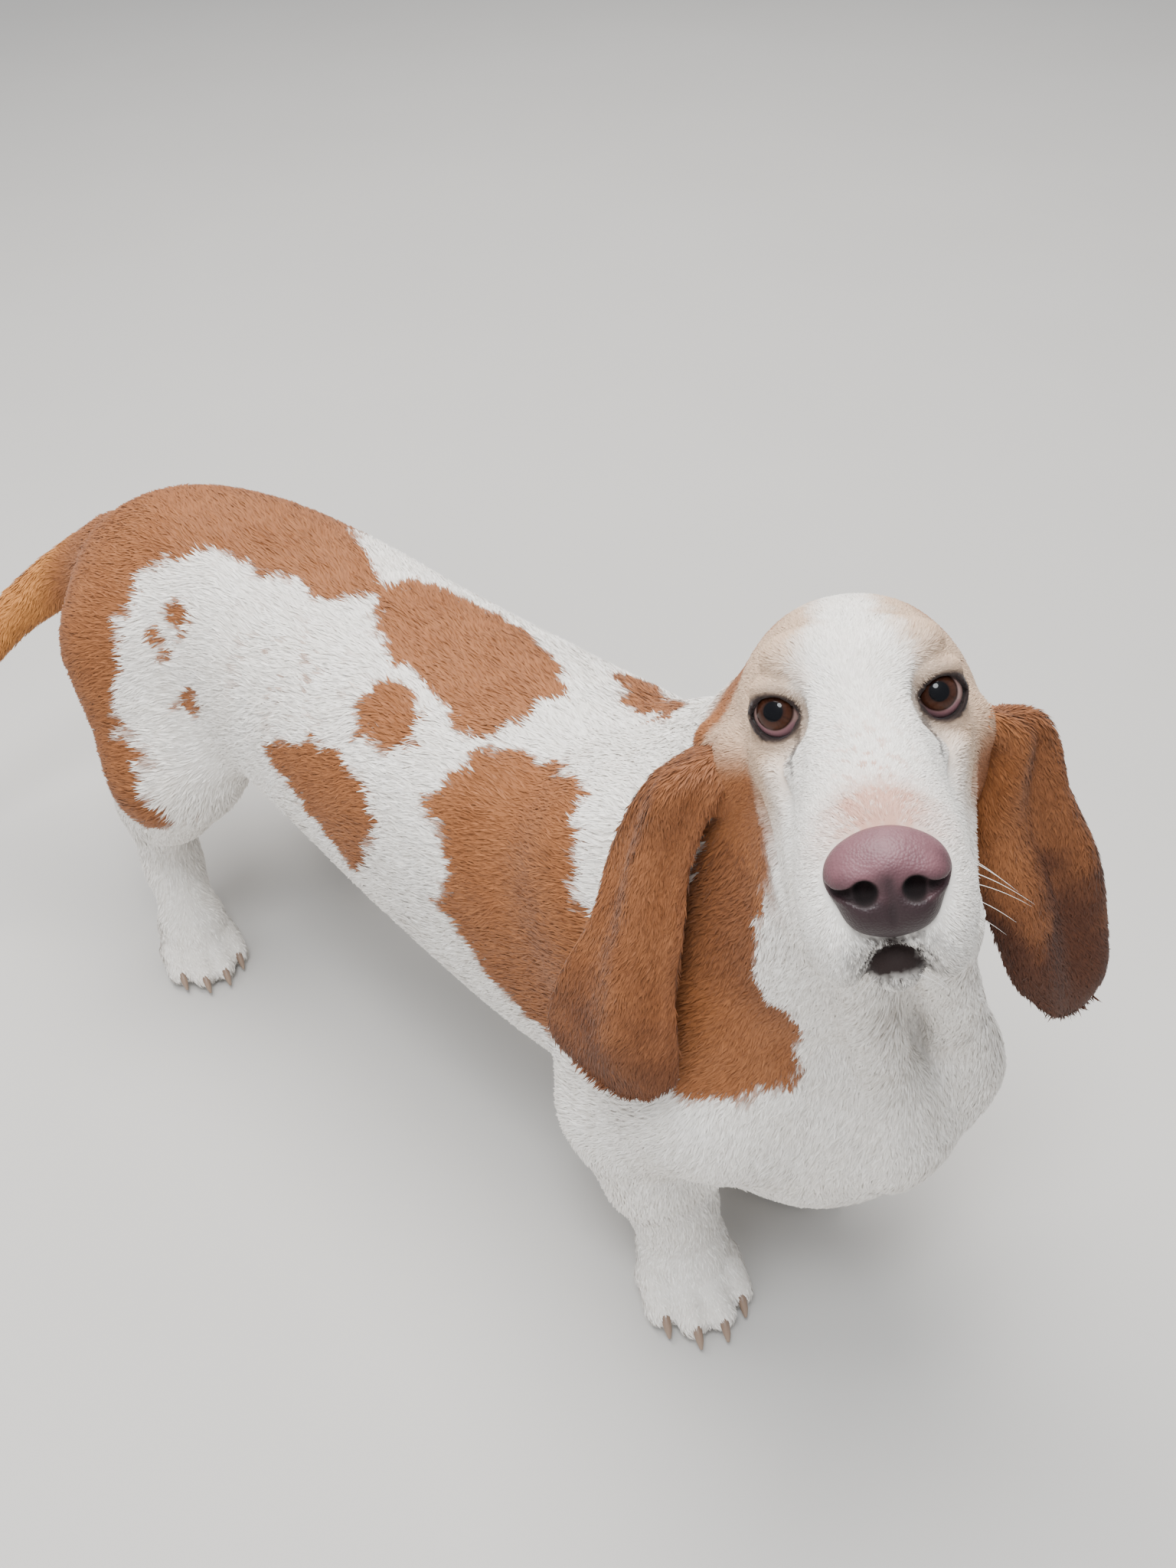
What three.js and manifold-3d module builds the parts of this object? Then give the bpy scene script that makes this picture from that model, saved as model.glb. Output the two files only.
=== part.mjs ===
// A life-size basset hound standing with its head turned and raised, modelled in
// millimetres. The hound faces -Y, its left side is +X and the floor is z = 0.
// Flesh is described by distance fields made of cones, balls and lofts that melt
// into one another. Each region is sampled on its own grid, cut from its
// neighbours by thin planes, and stored as one closed mesh.
import * as THREE from "three";
import { mergeVertices } from "three/addons/utils/BufferGeometryUtils.js";
import Module from "manifold-3d";

const wasm = await Module();
wasm.setup();
const { Manifold } = wasm;

// Driving dimensions
const WITHERS = 362; // height of the back over the shoulders
const GAP = 0.3; // clearance kept between touching pieces
const EYE_RADIUS = 12;
const EYE_SPREAD = 33.5; // half the distance between the eyeballs' centres
const MUZZLE = 125; // from between the eyes to the front of the nose
const EAR_THICKNESS = 5.5;
const FOLD = 4; // depth of the soft pleats that run down an ear
const PAW_WIDTH = 66;
const SPINE_BEND = -40; // how far the hips stand to the right of the shoulders

// Where the head is: the point between the eyes, and the head's own axes
const HEAD_ORIGIN = new THREE.Vector3(-25, -297, 488);
const HEAD_LEFT = new THREE.Vector3(0.739, -0.659, 0.138).normalize();
const HEAD_UP = new THREE.Vector3(0.194, 0.404, 0.894).normalize();
const HEAD_BACK = new THREE.Vector3().crossVectors(HEAD_UP, HEAD_LEFT).normalize();
HEAD_LEFT.crossVectors(HEAD_BACK, HEAD_UP);

// A frame turns a point of the whole model into local left, back and up distances.
function frame(origin, left, back, up) {
  return { o: origin.toArray(), l: left.toArray(), b: back.toArray(), u: up.toArray() };
}
const HEAD = frame(HEAD_ORIGIN, HEAD_LEFT, HEAD_BACK, HEAD_UP);
const BODY = frame(
  new THREE.Vector3(),
  new THREE.Vector3(1, 0, 0),
  new THREE.Vector3(0, 1, 0),
  new THREE.Vector3(0, 0, 1),
);

function local(f, p) {
  const x = p[0] - f.o[0];
  const y = p[1] - f.o[1];
  const z = p[2] - f.o[2];
  return [
    x * f.l[0] + y * f.l[1] + z * f.l[2],
    x * f.b[0] + y * f.b[1] + z * f.b[2],
    x * f.u[0] + y * f.u[1] + z * f.u[2],
  ];
}

function world(f, p) {
  return [0, 1, 2].map((i) => f.o[i] + p[0] * f.l[i] + p[1] * f.b[i] + p[2] * f.u[i]);
}

// Distance fields
const mix = (a, b, t) => a + (b - a) * t;
const clamp = (x) => Math.min(1, Math.max(0, x));

function melt(a, b, k) {
  const h = Math.max(k - Math.abs(a - b), 0) / k;
  return Math.min(a, b) - (h * h * k) / 4;
}

// A capsule whose radius changes from ra to rb.
function cone(a, b, ra, rb) {
  const d = [b[0] - a[0], b[1] - a[1], b[2] - a[2]];
  const length2 = d[0] * d[0] + d[1] * d[1] + d[2] * d[2];
  return (p) => {
    const x = p[0] - a[0];
    const y = p[1] - a[1];
    const z = p[2] - a[2];
    const t = clamp((x * d[0] + y * d[1] + z * d[2]) / length2);
    return Math.hypot(x - d[0] * t, y - d[1] * t, z - d[2] * t) - mix(ra, rb, t);
  };
}

// An ellipsoid with its radii along the frame's axes.
function ball(c, r) {
  return (p) => {
    const q = [0, 1, 2].map((i) => (p[i] - c[i]) / r[i]);
    const k0 = Math.hypot(...q);
    const k1 = Math.hypot(q[0] / r[0], q[1] / r[1], q[2] / r[2]);
    return k1 < 1e-9 ? -Math.min(...r) : (k0 * (k0 - 1)) / k1;
  };
}

// Oval sections strung along the back axis. A station is
// [back, centre left, centre up, half width, height above, depth below].
function loft(stations, squareness = 2.2) {
  const first = stations[0][0];
  const last = stations[stations.length - 1][0];
  const along = (s) => {
    let i = 0;
    while (i < stations.length - 2 && s > stations[i + 1][0]) i += 1;
    const before = stations[Math.max(i - 1, 0)];
    const [a, b] = [stations[i], stations[i + 1]];
    const after = stations[Math.min(i + 2, stations.length - 1)];
    const span = b[0] - a[0];
    const t = clamp((s - a[0]) / span);
    return a.map((_, j) => {
      const m0 = ((b[j] - before[j]) / (b[0] - before[0])) * span;
      const m1 = ((after[j] - a[j]) / (after[0] - a[0])) * span;
      const t2 = t * t;
      const t3 = t2 * t;
      return (2 * t3 - 3 * t2 + 1) * a[j] + (t3 - 2 * t2 + t) * m0
        + (3 * t2 - 2 * t3) * b[j] + (t3 - t2) * m1;
    });
  };
  return (p) => {
    const [, cx, cz, w, up, down] = along(p[1]);
    const dz = p[2] - cz;
    const h = dz > 0 ? up : down;
    const q = (Math.abs(p[0] - cx) / w) ** squareness + (Math.abs(dz) / h) ** squareness;
    const side = (q ** (1 / squareness) - 1) * Math.min(w, h);
    const past = Math.max(first - p[1], p[1] - last);
    return past > 0 ? Math.hypot(Math.max(side, 0), past) : side;
  };
}

// Melts a list of [field, blend] pairs given in one frame.
function together(f, pieces) {
  return (p) => {
    const q = local(f, p);
    return pieces.reduce((d, [field, blend]) => melt(d, field(q), blend), 1e4);
  };
}

const mirrored = (p) => [-p[0], p[1], p[2]];
const both = (make, ...points) => [make(...points), make(...points.map(mirrored))];

// Torso: rib cage, loins and croup, with the hips swung to the hound's right
const torsoField = together(BODY, [
  [loft([
    [-334, 12, 220, 28, 36, 44],
    [-316, 12, 225, 52, 62, 80],
    [-288, 12, 230, 74, 84, 110],
    [-240, 12, 237, 86, 105, 131],
    [-170, 11, 240, 95, WITHERS - 240, 138],
    [-80, 5, 240, 103, 110, 130],
    [20, -2, 241, 104, 100, 106],
    [120, -12, 246, 98, 98, 82],
    [200, -22, 254, 92, 99, 72],
    [270, SPINE_BEND, 260, 88, 100, 76],
    [330, -54, 258, 72, 92, 80],
    [372, -66, 252, 50, 68, 66],
    [392, -74, 248, 30, 42, 42],
  ]), 1],
  // shoulder blades and upper arms
  ...both((a, b) => cone(a, b, 34, 40), [-46, -150, 318], [-54, -238, 218]).map((c) => [c, 40]),
  ...both((a, b) => cone(a, b, 38, 32), [-58, -240, 208], [-68, -185, 158]).map((c) => [c, 35]),
  // breastbone
  [cone([10, -310, 206], [8, -232, 134], 26, 36), 40],
]);

// Legs as chains of cones. Each point is [x, y, z, radius].
function limb(points, blend) {
  return points.slice(1).map((b, i) => {
    const a = points[i];
    return [cone(a.slice(0, 3), b.slice(0, 3), a[3], b[3]), blend];
  });
}

const FRONT_LEGS = {
  right: [[-64, -182, 160, 34], [-60, -196, 105, 28], [-48, -202, 66, 25], [-44, -204, 38, 26]],
  left: [[78, -160, 160, 34], [72, -168, 105, 28], [60, -170, 66, 25], [56, -172, 38, 26]],
};
const HIND_LEGS = {
  right: [[-100, 292, 262, 58], [-116, 246, 190, 46], [-120, 268, 150, 34], [-116, 306, 104, 22],
    [-118, 298, 66, 19], [-125, 270, 34, 23]],
  left: [[16, 300, 254, 56], [40, 258, 190, 46], [46, 280, 150, 34], [44, 320, 104, 22],
    [46, 312, 66, 19], [50, 286, 34, 23]],
};

// Paws: a frame at the wrist's foot, turned so that its front is the toes' direction
function pawFrame(x, y, turnDegrees) {
  const turn = THREE.MathUtils.degToRad(turnDegrees);
  return frame(
    new THREE.Vector3(x, y, 0),
    new THREE.Vector3(Math.cos(turn), Math.sin(turn), 0),
    new THREE.Vector3(-Math.sin(turn), Math.cos(turn), 0),
    new THREE.Vector3(0, 0, 1),
  );
}
const PAWS = {
  front_right: { at: pawFrame(-43, -204, -24), scale: 0.94 },
  front_left: { at: pawFrame(56, -172, 20), scale: 0.94 },
  hind_right: { at: pawFrame(-128, 264, -12), scale: 0.85 },
  hind_left: { at: pawFrame(52, 280, 10), scale: 0.85 },
};
const TOES = [
  [-0.37, -26, 0.8],
  [-0.13, -37, 1],
  [0.13, -37, 1],
  [0.37, -26, 0.8],
];
const TOE_REACH = 14; // half length of a toe

function pawField({ at, scale }) {
  const s = (...values) => values.map((v) => v * scale);
  return together(at, [
    [ball(s(0, -2, 26), s(31, 34, 27)), 1],
    [ball(s(0, -14, 10), s(30, 26, 13)), 14],
    ...TOES.map(([side, front, size]) => [
      cone(
        s(side * PAW_WIDTH, front + TOE_REACH, 19),
        s(side * PAW_WIDTH * 1.08, front - TOE_REACH * size, 13),
        13 * scale,
        11.5 * scale,
      ),
      6,
    ]),
  ]);
}

// Tail: a thick root that hangs and thins to a point
const TAIL = [[-74, 372, 292, 27], [-104, 408, 266, 21], [-138, 432, 238, 17], [-172, 447, 204, 14],
  [-202, 457, 166, 11], [-222, 462, 132, 8]];

// Neck: short, thick and upright, with loose skin hanging at the throat
const NECK_TOP = world(HEAD, [0, 62, -22]);
const THROAT = world(HEAD, [0, -4, -82]);
const neckPieces = [
  [cone([8, -188, 285], NECK_TOP, 87, 56), 1],
  [cone([14, -238, 245], THROAT, 72, 34), 50],
  [cone([4, -318, 214], world(HEAD, [-13, -38, -92]), 19, 12), 24],
  [cone([58, -322, 222], world(HEAD, [21, -36, -92]), 20, 12), 24],
];

// Head, in its own frame
const skullPieces = [
  [loft([
    [-MUZZLE + 13, 0, -51, 23, 21, 20],
    [-98, 0, -49, 30, 31, 25],
    [-78, 0, -47, 31.5, 34, 28],
    [-52, 0, -41, 31.5, 38, 32],
    [-26, 0, -32, 32.5, 42, 38],
    [0, 0, -18, 36, 49, 52],
    [30, 0, -14, 40, 50, 56],
    [62, 0, -13, 40, 46, 52],
    [88, 0, -12, 33, 37, 42],
    [104, 0, -12, 21, 24, 28],
  ], 2.3), 1],
  // brow, cheekbone, cheek and hanging lips
  ...both((c) => ball(c, [14, 14, 11]), [-26, 9, 22]).map((b) => [b, 12]),
  ...both((c) => ball(c, [11, 28, 12]), [-32, 16, -20]).map((b) => [b, 14]),
  ...both((c) => ball(c, [11, 42, 42]), [-29, 22, -50]).map((b) => [b, 18]),
  ...both((c) => ball(c, [11.5, 46, 34]), [-22, -60, -65]).map((b) => [b, 12]),
  ...both((c) => ball(c, [11, 36, 28]), [-25, -34, -74]).map((b) => [b, 12]),
];
// hollows in front of the eyes, and the furrow down the middle of the forehead
const hollows = [
  ...both((c) => ball(c, [22, 20, 17]), [-43, -12, 1]).map((b) => [b, 8]),
  [cone([0, -14, 44], [0, 40, 56], 10, 8), 14],
];
const jawPieces = [
  [cone([0, -97, -82], [0, -40, -84], 12, 17), 1],
  [cone([0, -40, -84], [0, 10, -80], 17, 24), 10],
];
const nosePieces = [
  [ball([0, 13 - MUZZLE, -35], [22, 14, 16]), 1],
  [ball([0, 14 - MUZZLE, -50], [14, 12, 14]), 10],
  ...both((c) => ball(c, [10, 12, 10]), [-13.5, 13 - MUZZLE, -38]).map((b) => [b, 7]),
];
const EYE = [EYE_SPREAD, 8, 0];
const GAZE = [0.3, -0.95, 0]; // the way the left eye looks; the right one mirrors it

const neckField = together(BODY, neckPieces);
const skullField = together(HEAD, skullPieces);
const hollowField = (p) => {
  const q = local(HEAD, p);
  return (d) => hollows.reduce((sum, [field, blend]) => -melt(-sum, field(q), blend), d);
};
const headField = (p) => hollowField(p)(skullField(p));
const legFields = [
  ...Object.values(FRONT_LEGS).map((points) => together(BODY, limb(points, 16))),
  ...Object.values(HIND_LEGS).map((points) => together(BODY, limb(points, 22))),
];
const pawFields = Object.values(PAWS).map(pawField);
const tailField = together(BODY, limb(TAIL, 10));

function fleshField(p) {
  let d = melt(torsoField(p), neckField(p), 46);
  d = hollowField(p)(melt(d, skullField(p), 26));
  legFields.forEach((leg) => {
    d = melt(d, leg(p), 34);
  });
  pawFields.forEach((paw) => {
    d = melt(d, paw(p), 12);
  });
  return melt(d, tailField(p), 16);
}

// Ears: soft sheets that hang from the sides of the skull. Each row runs from the
// front edge over the middle to the rear edge, and the rows run from root to tip.
const EARS = {
  right: [
    [[-47, -252, 444], [-42, -238, 442], [-34, -216, 430]],
    [[-62, -248, 424], [-71, -230, 429], [-65, -206, 416]],
    [[-72, -243, 394], [-81, -223, 393], [-79, -194, 376]],
    [[-83, -249, 357], [-94, -227, 358], [-96, -197, 341]],
    [[-92, -253, 322], [-106, -233, 323], [-112, -188, 303]],
    [[-99, -263, 290], [-115, -236, 285], [-117, -182, 260]],
    [[-102, -264, 268], [-113, -244, 257], [-117, -208, 248]],
  ],
  left: [
    [[26, -324, 470], [36, -314, 464], [42, -302, 448]],
    [[38, -322, 442], [60, -330, 452], [72, -316, 438]],
    [[34, -316, 398], [60, -338, 408], [86, -330, 399]],
    [[42, -326, 359], [70, -350, 368], [102, -343, 358]],
    [[49, -336, 327], [77, -357, 331], [112, -351, 309]],
    [[57, -344, 298], [83, -361, 297], [118, -356, 274]],
    [[65, -350, 281], [85, -358, 266], [112, -356, 254]],
  ],
};

// Draws the surface of a field as a closed mesh. Every cell that the surface
// crosses gets one point for each separate sheet in it, and every grid edge that
// it crosses gets one four-sided face round it.
const CORNERS = [0, 1, 2, 3, 4, 5, 6, 7].map((i) => [i & 1, (i >> 1) & 1, i >> 2]);
const EDGES = [[0, 1], [2, 3], [4, 5], [6, 7], [0, 2], [1, 3], [4, 6], [5, 7], [0, 4], [1, 5],
  [2, 6], [3, 7]];
const FACES = [[0, 1, 3, 2], [4, 5, 7, 6], [0, 1, 5, 4], [2, 3, 7, 6], [0, 2, 6, 4], [1, 3, 7, 5]];
const edgeIndex = (a, b) => EDGES.findIndex(([c, d]) => (a === c && b === d) || (a === d && b === c));

function sheetsInCell(values) {
  const inside = values.map((v) => v < 0);
  const links = new Map();
  const join = (a, b) => {
    links.get(a).push(b);
    links.get(b).push(a);
  };
  EDGES.forEach(([a, b], e) => {
    if (inside[a] !== inside[b]) links.set(e, []);
  });
  FACES.forEach((ring) => {
    const crossed = ring
      .map((c, i) => [c, ring[(i + 1) % 4]])
      .filter(([a, b]) => inside[a] !== inside[b]);
    if (crossed.length === 2) join(edgeIndex(...crossed[0]), edgeIndex(...crossed[1]));
    if (crossed.length === 4) {
      ring.filter((c) => inside[c]).forEach((c) => {
        const [a, b] = crossed.filter((pair) => pair.includes(c));
        join(edgeIndex(...a), edgeIndex(...b));
      });
    }
  });
  const sheets = [];
  const seen = new Set();
  links.forEach((_, start) => {
    if (seen.has(start)) return;
    const sheet = [];
    const queue = [start];
    while (queue.length) {
      const e = queue.pop();
      if (!seen.has(e)) {
        seen.add(e);
        sheet.push(e);
        queue.push(...links.get(e));
      }
    }
    sheets.push(sheet);
  });
  return sheets;
}

function surface(field, axes, low, high, cell) {
  const count = [0, 1, 2].map((i) => Math.ceil((high[i] - low[i]) / cell) + 1);
  const at = (i, j, k) => world(axes, [low[0] + i * cell, low[1] + j * cell, low[2] + k * cell]);
  const key = (i, j, k) => (k * count[1] + j) * count[0] + i;
  const grid = new Float64Array(count[0] * count[1] * count[2]);
  for (let k = 0; k < count[2]; k += 1) {
    for (let j = 0; j < count[1]; j += 1) {
      for (let i = 0; i < count[0]; i += 1) {
        const onBorder = [i, j, k].some((n, axis) => n === 0 || n === count[axis] - 1);
        const d = field(at(i, j, k));
        grid[key(i, j, k)] = onBorder ? Math.max(d, 1) : d;
      }
    }
  }
  const points = [];
  const pointOf = new Map();
  for (let k = 0; k < count[2] - 1; k += 1) {
    for (let j = 0; j < count[1] - 1; j += 1) {
      for (let i = 0; i < count[0] - 1; i += 1) {
        const values = CORNERS.map(([a, b, c]) => grid[key(i + a, j + b, k + c)]);
        const some = values.some((v) => v < 0);
        if (!some || values.every((v) => v < 0)) continue;
        sheetsInCell(values).forEach((sheet) => {
          const sum = new THREE.Vector3();
          sheet.forEach((e) => {
            const [a, b] = EDGES[e];
            const t = values[a] / (values[a] - values[b]);
            sum.x += mix(CORNERS[a][0], CORNERS[b][0], t);
            sum.y += mix(CORNERS[a][1], CORNERS[b][1], t);
            sum.z += mix(CORNERS[a][2], CORNERS[b][2], t);
            pointOf.set(key(i, j, k) * 12 + e, points.length);
          });
          sum.divideScalar(sheet.length);
          points.push(at(i + sum.x, j + sum.y, k + sum.z));
        });
      }
    }
  }
  const triangles = [];
  const around = [[0, [[0, -1, -1], [0, 0, -1], [0, 0, 0], [0, -1, 0]]],
    [1, [[-1, 0, -1], [-1, 0, 0], [0, 0, 0], [0, 0, -1]]],
    [2, [[-1, -1, 0], [0, -1, 0], [0, 0, 0], [-1, 0, 0]]]];
  for (let k = 0; k < count[2] - 1; k += 1) {
    for (let j = 0; j < count[1] - 1; j += 1) {
      for (let i = 0; i < count[0] - 1; i += 1) {
        const here = grid[key(i, j, k)] < 0;
        around.forEach(([axis, cells]) => {
          if ([i, j, k].some((n, other) => other !== axis && n === 0)) return;
          const step = [0, 0, 0];
          step[axis] = 1;
          const there = grid[key(i + step[0], j + step[1], k + step[2])] < 0;
          if (here === there) return;
          const ring = cells.map(([a, b, c]) => {
            const corner = [-a, -b, -c];
            const from = corner[0] + 2 * corner[1] + 4 * corner[2];
            const to = from + [1, 2, 4][axis];
            return pointOf.get(key(i + a, j + b, k + c) * 12 + edgeIndex(from, to));
          });
          if (!here) ring.reverse();
          const [p, q, r, s] = ring.map((n) => new THREE.Vector3(...points[n]));
          if (p.distanceTo(r) <= q.distanceTo(s)) {
            triangles.push([ring[0], ring[1], ring[2]], [ring[0], ring[2], ring[3]]);
          } else {
            triangles.push([ring[0], ring[1], ring[3]], [ring[1], ring[2], ring[3]]);
          }
        });
      }
    }
  }
  return solid(points.flat(), triangles.flat());
}

// Closed meshes as solids that can be joined and cut
function solid(positions, indices) {
  const made = new Manifold(new wasm.Mesh({
    numProp: 3,
    vertProperties: new Float32Array(positions),
    triVerts: new Uint32Array(indices),
  }));
  return largest(made);
}

function largest(made) {
  return made.decompose().reduce((a, b) => (b.volume() > a.volume() ? b : a));
}

function solidFrom(geometry) {
  const bare = geometry.clone();
  bare.deleteAttribute("normal");
  bare.deleteAttribute("uv");
  const merged = mergeVertices(bare, 1e-4);
  return solid(merged.attributes.position.array, merged.index.array);
}

// Blocks that part one region from the next. The clearance pulls their faces in,
// or pushes them out when it is below zero.
const REACH = 1200;
function beyond(point, normal, clear) {
  const box = new THREE.BoxGeometry(REACH, REACH, REACH);
  box.translate(0, 0, REACH / 2 + clear);
  box.applyQuaternion(new THREE.Quaternion().setFromUnitVectors(
    new THREE.Vector3(0, 0, 1),
    new THREE.Vector3(...normal).normalize(),
  ));
  box.translate(...point);
  return solidFrom(box);
}

function between(low, high, clear) {
  const size = low.map((v, i) => high[i] - v - 2 * clear);
  const box = new THREE.BoxGeometry(...size);
  box.translate(...low.map((v, i) => (v + high[i]) / 2));
  return solidFrom(box);
}

// Moves every point of a solid outward, to leave a clearance round it.
function swollen(made, distance) {
  const mesh = made.getMesh();
  const geometry = new THREE.BufferGeometry();
  geometry.setAttribute("position", new THREE.BufferAttribute(mesh.vertProperties.slice(), 3));
  geometry.setIndex(new THREE.BufferAttribute(mesh.triVerts.slice(), 1));
  geometry.computeVertexNormals();
  const { position, normal } = geometry.attributes;
  const positions = Array.from(position.array, (v, i) => v + normal.array[i] * distance);
  return new Manifold(new wasm.Mesh({
    numProp: 3,
    vertProperties: new Float32Array(positions),
    triVerts: mesh.triVerts,
  }));
}

// Regions. Each one is a block of space that a named part keeps for itself.
const legBlock = (low, high, point, normal) => (clear) => (
  between(low, high, clear).intersect(beyond(point, normal, clear))
);
const REGIONS = {
  neck: (clear) => beyond([0, -232, 322], [0, -0.62, 0.78], clear),
  head: (clear) => beyond(
    world(HEAD, [0, 30, -84]),
    world(HEAD, [0.12, -0.18, 0.97]).map((v, i) => v - HEAD.o[i]),
    clear,
  ).intersect(beyond(
    world(HEAD, [0, 88, -20]),
    world(HEAD, [0.2, -0.8, 0.5]).map((v, i) => v - HEAD.o[i]),
    clear,
  )),
  tail: (clear) => beyond([-78, 394, 288], [-0.16, 0.84, -0.52], clear).intersect(
    between([-240, 378, 60], [-20, 600, 400], clear),
  ),
  front_leg_right: legBlock([-150, -290, -50], [-30, -90, 230], [-72, -186, 150], [0.4, 0, -1]),
  front_leg_left: legBlock([30, -290, -50], [150, -90, 230], [72, -168, 150], [-0.4, 0, -1]),
  hind_leg_right: legBlock([-240, 150, -50], [-72, 376, 300], [-130, 270, 205], [0.55, 0, -1]),
  hind_leg_left: legBlock([-12, 160, -50], [180, 376, 300], [52, 280, 205], [-0.55, 0, -1]),
};
const ANKLES = { front: 50, hind: 44 }; // height of the cut between leg and paw
const floor = beyond([0, 0, 0], [0, 0, -1], 0);

// Materials
const paint = (color, roughness) => new THREE.MeshStandardMaterial({ color, roughness, metalness: 0 });
const MATERIALS = {
  coat_white: paint(0xd9cfc2, 0.9),
  coat_red: paint(0x9a5a35, 0.9),
  nose_leather: paint(0x6d4a48, 0.5),
  eye: paint(0x3b2214, 0.15),
  claw: paint(0x8a7563, 0.5),
};
const model = new THREE.Group();
model.name = "basset_hound";

function add(name, made, material) {
  const mesh = largest(made).getMesh();
  const geometry = new THREE.BufferGeometry();
  geometry.setAttribute("position", new THREE.BufferAttribute(mesh.vertProperties.slice(), 3));
  geometry.setIndex(new THREE.BufferAttribute(mesh.triVerts.slice(), 1));
  geometry.computeVertexNormals();
  const node = new THREE.Mesh(geometry, MATERIALS[material]);
  node.name = name;
  model.add(node);
}

// Torso, neck and tail
const trunk = surface(fleshField, BODY, [-180, -400, 60], [180, 470, 430], 22);
const others = Object.values(REGIONS).reduce(
  (sum, region) => sum.add(region(-GAP / 2)),
  between([500, 0, 0], [501, 1, 1], 0),
);
add("torso", trunk.subtract(others), "coat_white");

const neckFlesh = surface(fleshField, BODY, [-140, -400, 130], [160, -60, 520], 17);
const neck = neckFlesh
  .intersect(REGIONS.neck(GAP / 2))
  .subtract(REGIONS.head(-GAP / 2));
add("neck", neck, "coat_white");

const tailFlesh = surface(fleshField, BODY, [-225, 350, 80], [-30, 500, 340], 9);
add("tail", tailFlesh.intersect(REGIONS.tail(GAP / 2)), "coat_red");

// Legs and paws
const paws = {};
Object.entries(PAWS).forEach(([name, { at }]) => {
  const [end, side] = name.split("_");
  const ankle = [0, 0, ANKLES[end]];
  const region = REGIONS[`${end}_leg_${side}`];
  const [x, y] = at.o;
  const leg = surface(fleshField, BODY, [x - 130, y - 130, 20], [x + 130, y + 170, 290], 15);
  add(`${end}_leg_${side}`, leg.intersect(region(GAP / 2)).intersect(
    beyond(ankle, [0, 0, 1], GAP / 2),
  ), "coat_white");
  paws[name] = surface(fleshField, at, [-60, -80, -20], [60, 60, 70], 9)
    .subtract(floor)
    .intersect(beyond(ankle, [0, 0, -1], GAP / 2));
  add(`${end}_paw_${side}`, paws[name], "coat_white");
});

// Head: lids are rings round the eyeballs, and the sockets are cut last
const headAxis = (v) => new THREE.Vector3(...world(HEAD, v)).sub(HEAD_ORIGIN);
const eyeCentre = (side) => world(HEAD, [side * EYE[0], EYE[1], EYE[2]]);
function eyeball(side, radius) {
  const sphere = new THREE.SphereGeometry(radius, 14, 9);
  sphere.translate(...eyeCentre(side));
  return solidFrom(sphere);
}

const LID = { halfWidth: 12.5, above: 9.6, below: 11, thickness: 2.5 };
function lidRing(side) {
  const forward = headAxis([side * GAZE[0], GAZE[1], GAZE[2]]).normalize();
  const across = new THREE.Vector3().crossVectors(forward, HEAD_UP).normalize();
  const rim = [];
  for (let i = 0; i < 16; i += 1) {
    const angle = (i / 16) * 2 * Math.PI;
    const aside = LID.halfWidth * Math.cos(angle);
    const rise = (angle < Math.PI ? LID.above : LID.below) * Math.sin(angle);
    const out = Math.sqrt(Math.max((EYE_RADIUS + 0.8) ** 2 - aside ** 2 - rise ** 2, 9));
    rim.push(new THREE.Vector3(...eyeCentre(side))
      .addScaledVector(across, aside)
      .addScaledVector(HEAD_UP, rise)
      .addScaledVector(forward, out));
  }
  const curve = new THREE.CatmullRomCurve3(rim, true);
  return solidFrom(new THREE.TubeGeometry(curve, 20, LID.thickness, 6, true));
}

const headFlesh = surface(fleshField, HEAD, [-90, -150, -150], [90, 150, 80], 9);
const aroundHead = swollen(headFlesh, GAP);
const head = [-1, 1].reduce(
  (made, side) => made.add(lidRing(side)).subtract(eyeball(side, EYE_RADIUS + GAP)),
  headFlesh.intersect(REGIONS.head(GAP / 2)),
);
add("head", head, "coat_white");
add("eye_right", eyeball(-1, EYE_RADIUS), "eye");
add("eye_left", eyeball(1, EYE_RADIUS), "eye");

// Lower jaw: shut against the upper lips, so the seam between them is the mouth
const jaw = surface(together(HEAD, jawPieces), HEAD, [-50, -125, -125], [50, 50, -50], 7);
add("lower_jaw", jaw.subtract(aroundHead).subtract(swollen(neckFlesh, GAP)), "coat_white");

// Nose leather, with a nostril and its slit hollowed out on each side
function hollow(center, radii) {
  const sphere = new THREE.SphereGeometry(1, 9, 7);
  sphere.scale(...radii);
  sphere.applyMatrix4(new THREE.Matrix4().makeBasis(HEAD_LEFT, HEAD_BACK, HEAD_UP));
  sphere.translate(...world(HEAD, center));
  return solidFrom(sphere);
}
const leather = surface(together(HEAD, nosePieces), HEAD, [-36, -140, -70], [36, -88, -8], 6);
const nose = [-1, 1].reduce((made, side) => made
  .subtract(hollow([side * 10.5, -MUZZLE, -42], [5, 8, 4.5]))
  .subtract(hollow([side * 17, 5 - MUZZLE, -40], [6, 6, 2.2])), leather);
add("nose", nose.subtract(aroundHead), "nose_leather");

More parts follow.
